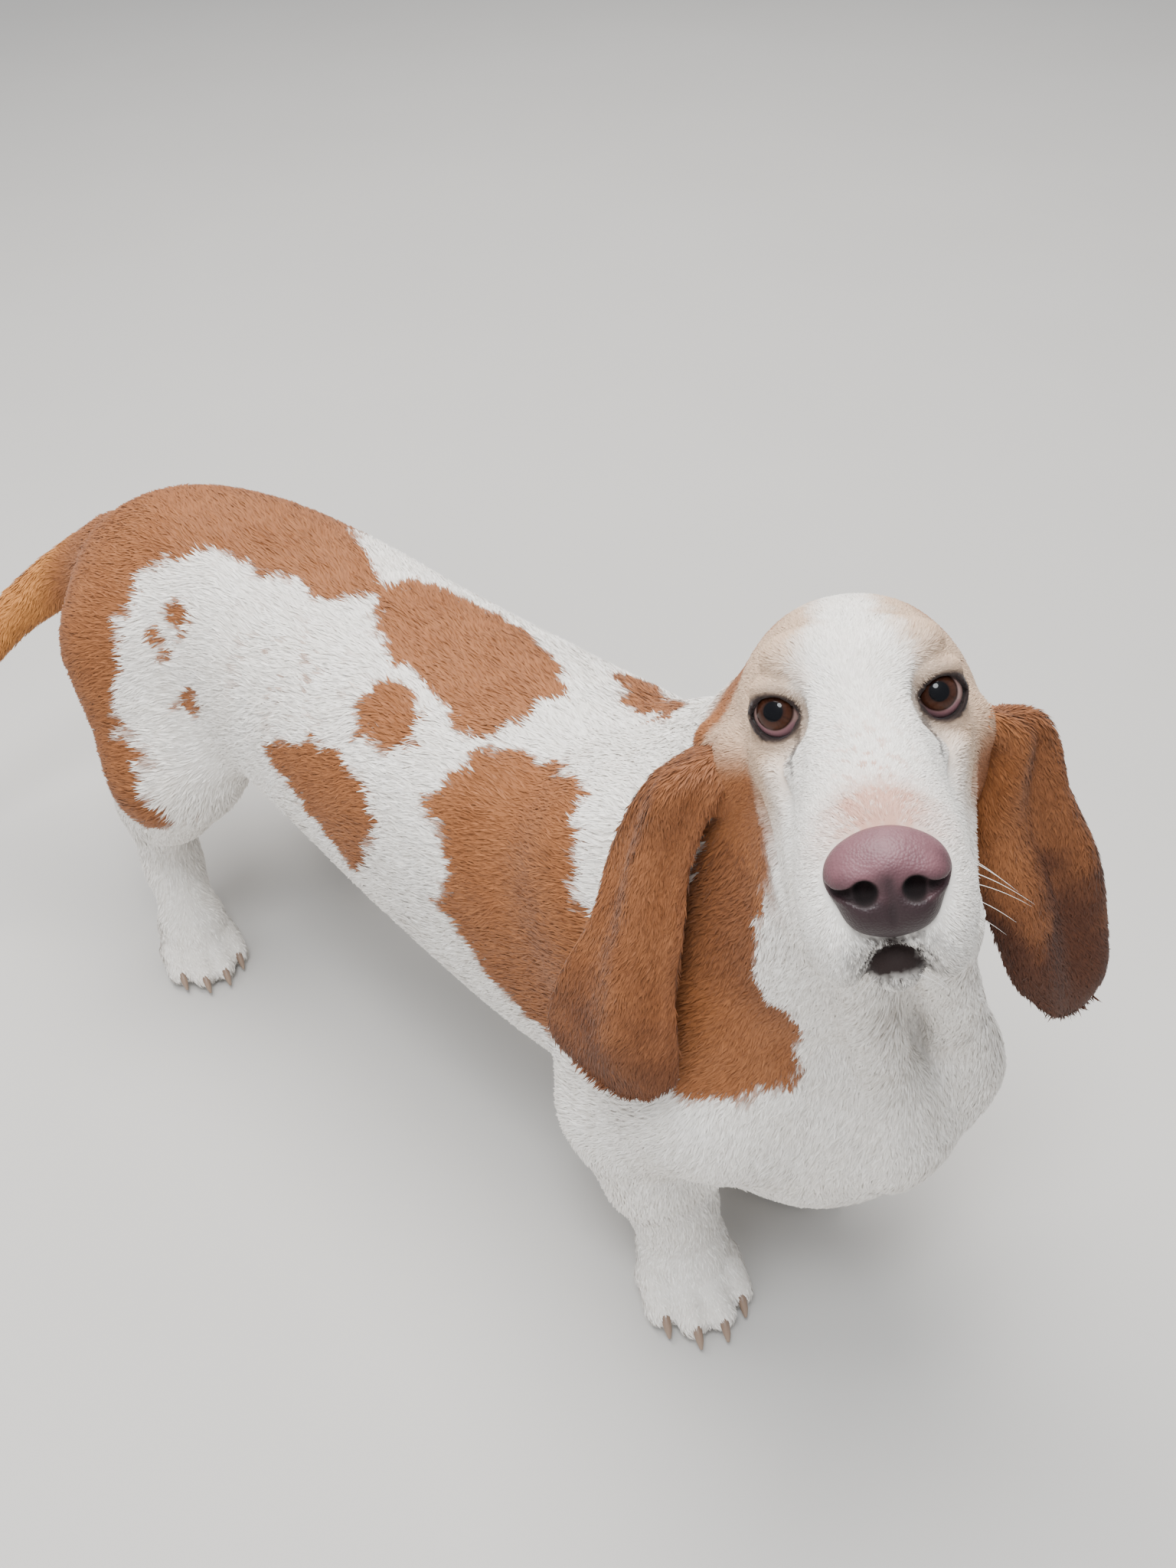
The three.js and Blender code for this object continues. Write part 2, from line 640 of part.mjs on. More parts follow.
// Ears
function sheet(rows, thickness, across, down) {
  const columns = [0, 1, 2].map((column) => new THREE.CatmullRomCurve3(
    rows.map((row) => new THREE.Vector3(...row[column])),
  ));
  const point = (u, v) => {
    const [front, middle, rear] = columns.map((curve) => curve.getPoint(v));
    return front.multiplyScalar((1 - u) * (1 - 2 * u))
      .addScaledVector(middle, 4 * u * (1 - u))
      .addScaledVector(rear, u * (2 * u - 1));
  };
  const positions = [];
  [1, -1].forEach((face) => {
    for (let j = 0; j <= down; j += 1) {
      for (let i = 0; i <= across; i += 1) {
        const u = i / across;
        const v = j / down;
        const e = 0.02;
        const lengthwise = point(u, Math.min(v + e, 1)).sub(point(u, Math.max(v - e, 0)));
        const widthwise = point(Math.min(u + e, 1), v).sub(point(Math.max(u - e, 0), v));
        const normal = lengthwise.cross(widthwise).normalize();
        const rim = 1 - 0.5 * Math.abs(2 * u - 1) ** 4 - 0.35 * v ** 6;
        const fold = FOLD * v * (1 - v) * 4 * Math.sin(3 * Math.PI * u);
        const spot = point(u, v).addScaledVector(normal, fold + (face * rim * thickness) / 2);
        positions.push(spot.x, spot.y, spot.z);
      }
    }
  });
  const width = across + 1;
  const other = width * (down + 1);
  const indices = [];
  const quad = (a, b, c, d) => indices.push(a, b, c, a, c, d);
  for (let j = 0; j < down; j += 1) {
    for (let i = 0; i < across; i += 1) {
      const a = j * width + i;
      quad(a, a + width, a + width + 1, a + 1);
      quad(other + a, other + a + 1, other + a + width + 1, other + a + width);
    }
  }
  for (let j = 0; j < down; j += 1) {
    const a = j * width;
    const b = a + across;
    quad(a, other + a, other + a + width, a + width);
    quad(b, b + width, other + b + width, other + b);
  }
  for (let i = 0; i < across; i += 1) {
    const a = i;
    const b = down * width + i;
    quad(a, a + 1, other + a + 1, other + a);
    quad(b, other + b, other + b + 1, b + 1);
  }
  return solid(positions, indices);
}
Object.entries(EARS).forEach(([side, rows]) => {
  const ear = sheet(rows, EAR_THICKNESS, 7, 15);
  add(`ear_${side}`, ear.subtract(aroundHead).subtract(swollen(neckFlesh, GAP)), "coat_red");
});

// Claws: short blunt horns at the ends of the toes
function horn(path, radii, sides) {
  const positions = [];
  const indices = [];
  path.forEach((spot, i) => {
    const [a, b] = [path[Math.max(i - 1, 0)], path[Math.min(i + 1, path.length - 1)]];
    const along = b.clone().sub(a).normalize();
    const aside = new THREE.Vector3().crossVectors(along, new THREE.Vector3(0, 0, 1)).normalize();
    const over = new THREE.Vector3().crossVectors(aside, along);
    for (let k = 0; k < sides; k += 1) {
      const angle = (k / sides) * 2 * Math.PI;
      const point = spot.clone()
        .addScaledVector(aside, Math.cos(angle) * radii[i])
        .addScaledVector(over, Math.sin(angle) * radii[i]);
      positions.push(point.x, point.y, point.z);
    }
  });
  for (let i = 0; i < path.length - 1; i += 1) {
    for (let k = 0; k < sides; k += 1) {
      const a = i * sides + k;
      const b = i * sides + ((k + 1) % sides);
      indices.push(a, b + sides, b, a, a + sides, b + sides);
    }
  }
  const end = (path.length - 1) * sides;
  for (let k = 1; k < sides - 1; k += 1) {
    indices.push(0, k, k + 1, end, end + k + 1, end + k);
  }
  return solid(positions, indices);
}
Object.entries(PAWS).forEach(([name, { at, scale }]) => {
  const paw = swollen(paws[name], GAP);
  TOES.forEach(([side, front, size], i) => {
    const root = front - TOE_REACH * size;
    const path = [[root + 2, 16], [root - 9, 15], [root - 14, 11], [root - 17, 6]]
      .map(([back, up]) => world(at, [side * PAW_WIDTH * 1.08, back, up].map((v) => v * scale)))
      .map((p) => new THREE.Vector3(...p));
    const claw = horn(path, [4.2, 4, 3.2, 1.2], 6);
    add(`claw_${name}_${i + 1}`, claw.subtract(paw), "claw");
  });
});

// The model stands with the middle of its footprint at the origin
const bounds = new THREE.Box3().setFromObject(model);
const middle = bounds.getCenter(new THREE.Vector3());
model.children.forEach((node) => node.geometry.translate(-middle.x, -middle.y, -bounds.min.z));

export default model;
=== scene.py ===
import math

import bpy
import numpy as np
from mathutils import Matrix, Vector


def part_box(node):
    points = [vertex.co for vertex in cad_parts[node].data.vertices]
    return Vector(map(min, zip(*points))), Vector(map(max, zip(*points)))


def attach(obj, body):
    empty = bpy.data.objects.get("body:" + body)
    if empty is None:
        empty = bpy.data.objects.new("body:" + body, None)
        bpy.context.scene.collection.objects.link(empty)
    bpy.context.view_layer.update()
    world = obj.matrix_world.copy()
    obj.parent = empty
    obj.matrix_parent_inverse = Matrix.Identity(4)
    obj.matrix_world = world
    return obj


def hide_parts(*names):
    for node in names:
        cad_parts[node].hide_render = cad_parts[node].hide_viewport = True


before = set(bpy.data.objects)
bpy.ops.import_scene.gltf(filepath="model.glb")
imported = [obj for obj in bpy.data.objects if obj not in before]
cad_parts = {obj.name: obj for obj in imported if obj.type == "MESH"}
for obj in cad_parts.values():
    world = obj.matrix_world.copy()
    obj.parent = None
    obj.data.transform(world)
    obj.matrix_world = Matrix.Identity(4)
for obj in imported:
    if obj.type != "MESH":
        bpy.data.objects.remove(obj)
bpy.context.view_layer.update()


# ---------------------------------------------------------------------------
# Skin
# The hound's own hide over its flesh: one closed sheet from the muzzle to the
# tip of the tail. It lies a coat's depth inside the solids, and carries the
# folds, lids and lips. Lengths are in millimetres until a mesh is made.
# ---------------------------------------------------------------------------
HEAD_AT = np.array([-25.0, -297.0, 488.0])
HEAD_LEFT = np.array([0.739, -0.659, 0.138])
HEAD_LEFT /= np.linalg.norm(HEAD_LEFT)
HEAD_UP = np.array([0.194, 0.404, 0.894])
HEAD_UP /= np.linalg.norm(HEAD_UP)
HEAD_BACK = np.cross(HEAD_UP, HEAD_LEFT)
HEAD_BACK /= np.linalg.norm(HEAD_BACK)
HEAD_LEFT = np.cross(HEAD_BACK, HEAD_UP)
HEAD_AXES = np.array([HEAD_LEFT, HEAD_BACK, HEAD_UP])


def from_head(*place):
    """A point given left, back and up from between the eyes, in the body's own axes."""
    return HEAD_AT + np.array(place) @ HEAD_AXES


def to_head(points):
    return (points - HEAD_AT) @ HEAD_AXES.T


EYE_SPREAD, EYE_BACK, EYE_RADIUS = 33.5, 8.0, 12.0
# the solids are placed about the middle of their box, and the left eye shows how far
low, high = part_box("eye_left")
SHIFT = np.array((low + high) / 2) - from_head(EYE_SPREAD, EYE_BACK, 0) / 1000


def col(values):
    """One value for each point, stood up beside the points' three."""
    return values[:, None]


def unit(ways):
    return ways / col(np.maximum(np.linalg.norm(ways, axis=1), 1e-9))


def melt(a, b, blend):
    """The nearer of two surfaces, rounded where they meet."""
    h = np.maximum(blend - np.abs(a - b), 0) / blend
    return np.minimum(a, b) - h * h * blend / 4


def carved(d, tool, blend):
    """A surface with the shape of a tool pressed into it."""
    return -melt(-d, tool, blend)


def cone(p, a, b, ra, rb):
    """Distance to a tapering rod with round ends."""
    a, b = np.asarray(a, float), np.asarray(b, float)
    along = b - a
    t = np.clip((p - a) @ along / (along @ along), 0, 1)
    return np.linalg.norm(p - a - col(t) * along, axis=1) - (ra + (rb - ra) * t)


def ball(p, centre, radii):
    """Distance to an egg shape, close enough near its surface."""
    q = (p - centre) / radii
    k0 = np.linalg.norm(q, axis=1)
    k1 = np.linalg.norm(q / radii, axis=1)
    return k0 * (k0 - 1) / np.maximum(k1, 1e-9)


def loft(p, stations, squareness):
    """Oval sections along the second axis: [back, left, up, half width, above, below]."""
    rows = np.array(stations, float)
    y = rows[:, 0]
    slopes = np.empty_like(rows)
    slopes[1:-1] = (rows[2:] - rows[:-2]) / col(y[2:] - y[:-2])
    slopes[0] = (rows[1] - rows[0]) / (y[1] - y[0])
    slopes[-1] = (rows[-1] - rows[-2]) / (y[-1] - y[-2])
    i = np.clip(np.searchsorted(y, p[:, 1]) - 1, 0, len(y) - 2)
    span = y[i + 1] - y[i]
    t = col(np.clip((p[:, 1] - y[i]) / span, 0, 1))
    m0, m1 = slopes[i] * col(span), slopes[i + 1] * col(span)
    t2, t3 = t * t, t * t * t
    mid = (2 * t3 - 3 * t2 + 1) * rows[i] + (t3 - 2 * t2 + t) * m0
    mid += (3 * t2 - 2 * t3) * rows[i + 1] + (t3 - t2) * m1
    _, left, up, width, above, below = mid.T
    dz = p[:, 2] - up
    h = np.where(dz > 0, above, below)
    q = (np.abs(p[:, 0] - left) / width) ** squareness + (np.abs(dz) / h) ** squareness
    side = (q ** (1 / squareness) - 1) * np.minimum(width, h)
    past = np.maximum(y[0] - p[:, 1], p[:, 1] - y[-1])
    return np.where(past > 0, np.hypot(np.maximum(side, 0), past), side)


TORSO = [
    [-334, 12, 220, 28, 36, 44], [-316, 12, 225, 52, 62, 80], [-288, 12, 230, 74, 84, 110],
    [-240, 12, 237, 86, 105, 131], [-170, 11, 240, 95, 122, 138], [-80, 5, 240, 103, 110, 130],
    [20, -2, 241, 104, 100, 106], [120, -12, 246, 98, 98, 82], [200, -22, 254, 92, 99, 72],
    [270, -40, 260, 88, 100, 76], [330, -54, 258, 72, 92, 80], [372, -66, 252, 50, 68, 66],
    [392, -74, 248, 30, 42, 42],
]
TORSO_SQUARENESS, SKULL_SQUARENESS = 2.2, 2.3
# rods of muscle: two ends, a radius at each, and the blend
SHOULDER_BLADES = [
    ((46, -150, 318), (54, -238, 218), 34, 40, 40),
    ((58, -240, 208), (68, -185, 158), 38, 32, 35),
]
BREASTBONE = ((10, -310, 206), (8, -232, 134), 26, 36, 40)
NECK_TOP, THROAT = from_head(0, 62, -22), from_head(0, -4, -82)
DEWLAPS = [from_head(-13, -38, -92), from_head(21, -36, -92)]
NECK = [
    ((8, -188, 285), NECK_TOP, 87, 56, 1),
    ((14, -238, 245), THROAT, 72, 34, 50),
    ((4, -318, 214), DEWLAPS[0], 19, 13, 9),
    ((58, -322, 222), DEWLAPS[1], 20, 13, 9),
]
# the skull and what follows are in head axes
SKULL = [
    [-112, 0, -51, 23, 21, 20], [-98, 0, -49, 30, 31, 25], [-78, 0, -47, 31.5, 34, 28],
    [-52, 0, -41, 31.5, 38, 32], [-26, 0, -32, 32.5, 42, 38], [0, 0, -18, 36, 49, 52],
    [30, 0, -14, 40, 50, 56], [62, 0, -13, 40, 46, 52], [88, 0, -12, 33, 37, 42],
    [104, 0, -12, 21, 24, 28],
]
# brow, cheekbone, cheek and hanging lips: centre, radii and blend for the left side
FACE = [
    ((26, 9, 22), (14, 14, 11), 12), ((32, 16, -20), (11, 28, 12), 14),
    ((29, 22, -50), (11, 42, 42), 18), ((20, -68, -64), (13.5, 46, 33), 12),
    ((25, -34, -74), (11, 36, 28), 12), ((19, -90, -66), (13, 24, 22), 10),
]
JAW = [((0, -97, -82), (0, -40, -84), 12, 17, 1), ((0, -40, -84), (0, 10, -80), 17, 24, 10)]
# hollow in front of the eye, furrow of the forehead, and groove of the upper lip
EYE_HOLLOW = ((43, -12, 1), (22, 20, 17), 8)
FURROW = ((0, -14, 44), (0, 40, 56), 10, 8)
LIP_GROOVE = ((0, -115, -60), (0, -112.5, -74), 0.5, 1.2)
# shallow wrinkles of loose skin, each a run of [left, back, up, radius] points
WRINKLES = [
    [(27, -24, 0, 0.2), (32.5, -44, -14, 1.5), (34.5, -62, -34, 0.9), (35, -76, -60, 0.2)],
    [(34, -12, -20, 0.2), (35.5, -30, -36, 1.6), (35.5, -44, -62, 1.2), (35, -50, -84, 0.2)],
    [(41, 14, -30, 0.2), (42, 4, -50, 1.8), (39, -10, -72, 1.5), (34, -20, -92, 0.2)],
]
# how high a wrinkle's run lies over the skin, and how wide its valley is
WRINKLE_LIFT, WRINKLE_BLEND = 4, 13
# each leg down to its paw as a run of [left, back, up, radius] points, and its blend
LIMBS = {
    "front_right": ([(-64, -182, 160, 34), (-60, -196, 105, 28), (-48, -202, 66, 25),
                     (-44, -204, 38, 26)], 16),
    "front_left": ([(78, -160, 160, 34), (72, -168, 105, 28), (60, -170, 66, 25),
                    (56, -172, 38, 26)], 16),
    "hind_right": ([(-100, 292, 262, 58), (-116, 246, 190, 46), (-120, 268, 150, 34),
                    (-116, 306, 104, 22), (-118, 298, 66, 19), (-125, 270, 34, 23)], 22),
    "hind_left": ([(16, 300, 254, 56), (40, 258, 190, 46), (46, 280, 150, 34),
                   (44, 320, 104, 22), (46, 312, 66, 19), (50, 286, 34, 23)], 22),
}
TAIL_POINTS = [(-74, 372, 292, 27), (-104, 408, 266, 22), (-138, 432, 238, 18),
               (-172, 447, 204, 15), (-202, 457, 166, 12), (-222, 462, 132, 8.5)]
TAIL_STEPS = 21
# where each paw stands, the way it turns and its size
PAWS = {
    "front_right": (-43, -204, -24, 0.94), "front_left": (56, -172, 20, 0.94),
    "hind_right": (-128, 264, -12, 0.85), "hind_left": (52, 280, 10, 0.85),
}
# toes: the share of the paw's width to the left, the place in front, and the length
TOES = [(-0.37, -26, 0.8), (-0.13, -37, 1), (0.13, -37, 1), (0.37, -26, 0.8)]
PAW_WIDTH, TOE_REACH, TOE_SPLAY = 66, 14, 1.08
# small rolls of skin under each ear's root
EAR_ROOT_RADII = (8, 7)
EAR_ROOTS = [
    ((-44, -248, 442), (-36, -218, 430)), ((28, -318, 464), (40, -302, 448)),
    ((-44, -248, 442), (-58, -240, 420)), ((29, -315, 454), (37, -314, 422)),
]


def smooth_run(points, v):
    """Places at shares v along a smooth line through points."""
    row = np.array(points, float)
    row = np.vstack([2 * row[0] - row[1], row, 2 * row[-1] - row[-2]])
    s = v * (len(points) - 1)
    i = np.minimum(s.astype(int), len(points) - 2)
    t = col(s - i)
    a, b, c, d = row[i], row[i + 1], row[i + 2], row[i + 3]
    ab, bc, cd = (col(np.sqrt(np.linalg.norm(y - x, axis=1))) for x, y in ((a, b), (b, c), (c, d)))
    m1 = ((b - a) / ab - (c - a) / (ab + bc) + (c - b) / bc) * bc
    m2 = ((c - b) / bc - (d - b) / (bc + cd) + (d - c) / cd) * bc
    return b + m1 * t + (3 * c - 3 * b - 2 * m1 - m2) * t**2 + (2 * b - 2 * c + m1 + m2) * t**3


TAIL = smooth_run(TAIL_POINTS, np.linspace(0, 1, TAIL_STEPS))


def chain(p, points, blend):
    """A run of cones through [x, y, z, radius] points."""
    d = np.full(len(p), 1e4)
    for a, b in zip(points, points[1:]):
        d = melt(d, cone(p, a[:3], b[:3], a[3], b[3]), blend)
    return d


def paw_axes(turn):
    """Axes of a paw that is turned about the upright by so many degrees."""
    c, s = math.cos(math.radians(turn)), math.sin(math.radians(turn))
    return np.array([[c, s, 0], [-s, c, 0], [0, 0, 1]])


def paw_field(p, name):
    """Distance to a paw: a round mass, its pad, and four knuckled toes."""
    x, y, turn, size = PAWS[name]
    q = (p - (x, y, 0)) @ paw_axes(turn).T / size
    d = ball(q, (0, -2, 26), (31, 34, 27))
    d = melt(d, ball(q, (0, -14, 10), (30, 26, 13)), 14)
    for side, front, toe in TOES:
        knuckle = (side * PAW_WIDTH, front + TOE_REACH, 19)
        tip = (side * PAW_WIDTH * TOE_SPLAY, front - TOE_REACH * toe, 13)
        d = melt(d, cone(q, knuckle, tip, 13, 11.5), 5)
    return d * size


def at_eye(q, side):
    """Places outwards, up and forward from the middle of one eyeball."""
    forward = np.array([side * 0.3, -0.95, 0.0])
    forward /= np.linalg.norm(forward)
    across = np.array([-forward[1], forward[0], 0]) * side
    return (q - (side * EYE_SPREAD, EYE_BACK, 0)) @ np.array([across, [0, 0, 1], forward]).T


# the opening between the lids: half its width, and its heights over and under the middle
LIDS_WIDE, LIDS_ABOVE, LIDS_BELOW = 9.6, 8.8, 10.2
LID_REACH = 34


def lid_height(e):
    return np.where(e[:, 1] > 0, LIDS_ABOVE, LIDS_BELOW)


def lids(d, q, side):
    """Skin drawn over one eyeball, with a rolled rim round the opening."""
    e = at_eye(q, side)
    near = np.linalg.norm(e, axis=1) < LID_REACH
    part, e = d[near], e[near]
    out = np.linalg.norm(e, axis=1)
    part = melt(part, out - (EYE_RADIUS + 1.6), 9)
    # heavy upper lid, and the pouch that hangs below the lower one
    part = melt(part, ball(e, (-1, 11.5, 5.0), (10, 3.0, 5)), 7)
    part = melt(part, ball(e, (1, -15, 3), (12, 3.6, 5.5)), 5)
    tall = lid_height(e)
    # corners are drawn out to points, as lids are
    reach = LIDS_WIDE + 1.6 * np.exp(-(e[:, 1] / 2.5) ** 2)
    oval = (np.hypot(e[:, 0] / reach, e[:, 1] / tall) - 1) * np.minimum(reach, tall)
    rim = np.hypot(oval - 0.9, out - (EYE_RADIUS + 1.1)) - 1.5
    rim = np.where(e[:, 2] > 0, rim, 1e3)
    part = melt(part, rim, 1.5)
    part = carved(part, np.maximum(oval, -e[:, 2]), 1.0)
    d[near] = np.maximum(part, -(out - (EYE_RADIUS - 0.4)))
    return d


HEAD_DEPTH, BODY_DEPTH = 0.6, 2.0


def coat_depth(p):
    """How far the skin lies under the tips of the hair."""
    far = np.clip((np.linalg.norm(p - from_head(0, -20, -20), axis=1) - 60) / 120, 0, 1)
    foot = np.clip((p[:, 2] - 20) / 60, 0, 1)
    return HEAD_DEPTH + (BODY_DEPTH - HEAD_DEPTH) * far * (0.3 + 0.7 * foot)


def head_fields(q):
    """Distances to the skull with its upper lips, and to the lower jaw."""
    skull = loft(q, SKULL, SKULL_SQUARENESS)
    for side in (-1, 1):
        for centre, radii, blend in FACE:
            skull = melt(skull, ball(q * (side, 1, 1), centre, radii), blend)
    jaw = np.full(len(q), 1e4)
    for *rod, blend in JAW:
        jaw = melt(jaw, cone(q, *rod), blend)
    return skull, jaw


def flesh(p):
    """Signed distance to the skin, in millimetres."""
    torso = loft(p, TORSO, TORSO_SQUARENESS)
    for *rod, blend in SHOULDER_BLADES:
        for side in (-1, 1):
            torso = melt(torso, cone(p * (side, 1, 1), *rod), blend)
    *rod, blend = BREASTBONE
    torso = melt(torso, cone(p, *rod), blend)
    neck = np.full(len(p), 1e4)
    for *rod, blend in NECK:
        neck = melt(neck, cone(p, *rod), blend)
    d = melt(torso, neck, 46)
    q = to_head(p)
    skull, jaw = head_fields(q)
    d = melt(d, skull, 26)
    centre, radii, blend = EYE_HOLLOW
    for side in (-1, 1):
        d = carved(d, ball(q * (side, 1, 1), centre, radii), blend)
    d = carved(d, cone(q, *FURROW), 14)
    d = melt(d, jaw, 2.0)
    for side in (-1, 1):
        for line in WRINKLES:
            valley = chain(q * (side, 1, 1), line, 1.5) + WRINKLE_LIFT
            d = carved(d, valley, WRINKLE_BLEND)
    d = carved(d, cone(q, *LIP_GROOVE), 3)
    for a, b in EAR_ROOTS:
        d = melt(d, cone(p, a, b, *EAR_ROOT_RADII), 14)
    for points, blend in LIMBS.values():
        d = melt(d, chain(p, points, blend), 34)
    for name in PAWS:
        d = melt(d, paw_field(p, name), 12)
    d = melt(d, chain(p, TAIL, 1), 16)
    d = d + coat_depth(p)
    for side in (-1, 1):
        d = lids(d, q, side)
    # soles are flat on the floor
    return np.maximum(d, 0.4 - p[:, 2])


# The grid is finest round the muzzle and widens away from it, so that one mesh
# carries both the lids and the flanks.
FACE_AT = from_head(0, -50, -25)
FINE, NEAR, FADE = 0.24, 380.0, 260.0


def spread(q):
    """From grid places to the hound's own millimetres."""
    r = np.maximum(np.linalg.norm(q, axis=1), 1e-6)
    s = np.clip((r - NEAR) / FADE, 0, 1)
    out = FINE * r + (1 - FINE) * (FADE * (s**3 - s**4 / 2) + np.maximum(r - NEAR - FADE, 0))
    return FACE_AT + q * col(out / r)


def stretch(q):
    """How much longer a radial step is there than in the grid."""
    s = np.clip((np.linalg.norm(q, axis=1) - NEAR) / FADE, 0, 1)
    return FINE + (1 - FINE) * s * s * (3 - 2 * s)


def net(values):
    """Points, in grid steps, and four-sided faces where a grid changes sign."""
    shape = np.array(values.shape)
    spots, owners, ways = [], [], []
    for axis in range(3):
        first, second = [slice(None)] * 3, [slice(None)] * 3
        first[axis], second[axis] = slice(0, -1), slice(1, None)
        a, b = values[tuple(first)], values[tuple(second)]
        at = np.argwhere((a < 0) != (b < 0))
        x, y = a[tuple(at.T)], b[tuple(at.T)]
        spot = at.astype(float)
        spot[:, axis] += x / (x - y)
        u, v = (axis + 1) % 3, (axis + 2) % 3
        ring = []
        for du, dv in ((0, 0), (-1, 0), (-1, -1), (0, -1)):
            cell = at.copy()
            cell[:, u] += du
            cell[:, v] += dv
            ring.append(np.ravel_multi_index(cell.T, shape))
        spots.append(spot)
        owners.append(np.array(ring).T)
        ways.append(x < 0)
    owners, spots, ways = np.concatenate(owners), np.concatenate(spots), np.concatenate(ways)
    _, index = np.unique(owners, return_inverse=True)
    index = index.reshape(owners.shape)
    count = np.bincount(index.ravel())
    points = np.array([np.bincount(index.ravel(), np.repeat(column, 4)) for column in spots.T]).T
    return points / col(count), np.where(col(ways), index, index[:, ::-1])


def settle(field, p, reach, rounds):
    """Moves points on to the surface, each by no more than its own reach."""
    step = col(np.broadcast_to(reach * 0.1, len(p)))
    for _ in range(rounds):
        d = field(p)
        slope = np.array([field(p + step * way) - d for way in np.eye(3)]).T / step
        move = -col(d) * slope / col(np.maximum((slope * slope).sum(1), 0.2))
        size = np.linalg.norm(move, axis=1)
        p = p + move * col(np.minimum(1, 0.6 * reach / np.maximum(size, 1e-9)))
    return p


# one value in the middle of each block of cells shows which blocks the skin may cross
SKIN_CELL = 7.1
BLOCK = 4
BATCHES = 24
grid_low = np.array([-430.0, -330.0, -930.0])
grid_high = np.array([430.0, 1290.0, 330.0])
blocks = np.ceil((grid_high - grid_low) / (SKIN_CELL * BLOCK)).astype(int)
middles = np.indices(blocks).reshape(3, -1).T
q = grid_low + (middles * BLOCK + (BLOCK - 1) / 2) * SKIN_CELL
rough = flesh(spread(q))
corner_reach = 0.87 * SKIN_CELL * BLOCK * stretch(q * 1.03)
crossed = np.abs(rough) < 4 + 1.9 * corner_reach
values = np.kron(np.sign(rough).reshape(blocks), np.ones((BLOCK,) * 3)).astype(np.float32)
steps = np.indices((BLOCK,) * 3).reshape(3, -1).T
for batch in np.array_split(middles[crossed], BATCHES):
    cells = (batch[:, None] * BLOCK + steps).reshape(-1, 3)
    values[tuple(cells.T)] = flesh(spread(grid_low + cells * SKIN_CELL))
skin_points, skin_faces = net(values)
q = grid_low + skin_points * SKIN_CELL
reach = SKIN_CELL * stretch(q)
skin_points = settle(flesh, spread(q), reach, 2)


# ---------------------------------------------------------------------------
# Ears
# Long soft flaps of skin that hang from the sides of the skull. Each is a thin
# sheet with its root sunk in a roll of skin, and it is part of the same hide.
# ---------------------------------------------------------------------------
# rows from root to tip; each runs from the front edge over the middle to the rear
EARS = {
    "right": [
        [(-47, -252, 444), (-42, -238, 442), (-34, -216, 430)],
        [(-62, -248, 424), (-71, -230, 429), (-65, -206, 416)],
        [(-72, -243, 394), (-81, -223, 393), (-79, -194, 376)],
        [(-83, -249, 357), (-94, -227, 358), (-96, -197, 341)],
        [(-92, -253, 322), (-106, -233, 323), (-112, -188, 303)],
        [(-99, -263, 290), (-115, -236, 285), (-117, -182, 260)],
        [(-102, -264, 268), (-113, -244, 257), (-117, -208, 248)],
    ],
    "left": [
        [(26, -324, 470), (36, -314, 464), (42, -302, 448)],
        [(38, -322, 442), (60, -330, 452), (72, -316, 438)],
        [(34, -316, 398), (60, -338, 408), (86, -330, 399)],
        [(42, -326, 359), (70, -350, 368), (102, -343, 358)],
        [(49, -336, 327), (77, -357, 331), (112, -351, 309)],
        [(57, -344, 298), (83, -361, 297), (118, -356, 274)],
        [(65, -350, 281), (85, -358, 266), (112, -356, 254)],
    ],
}
EAR_THICKNESS = 5.5
EAR_FOLDS = {"right": 4.5, "left": 6.5}
EAR_ACROSS, EAR_DOWN = 36, 80
EAR_HAIR = 0.8


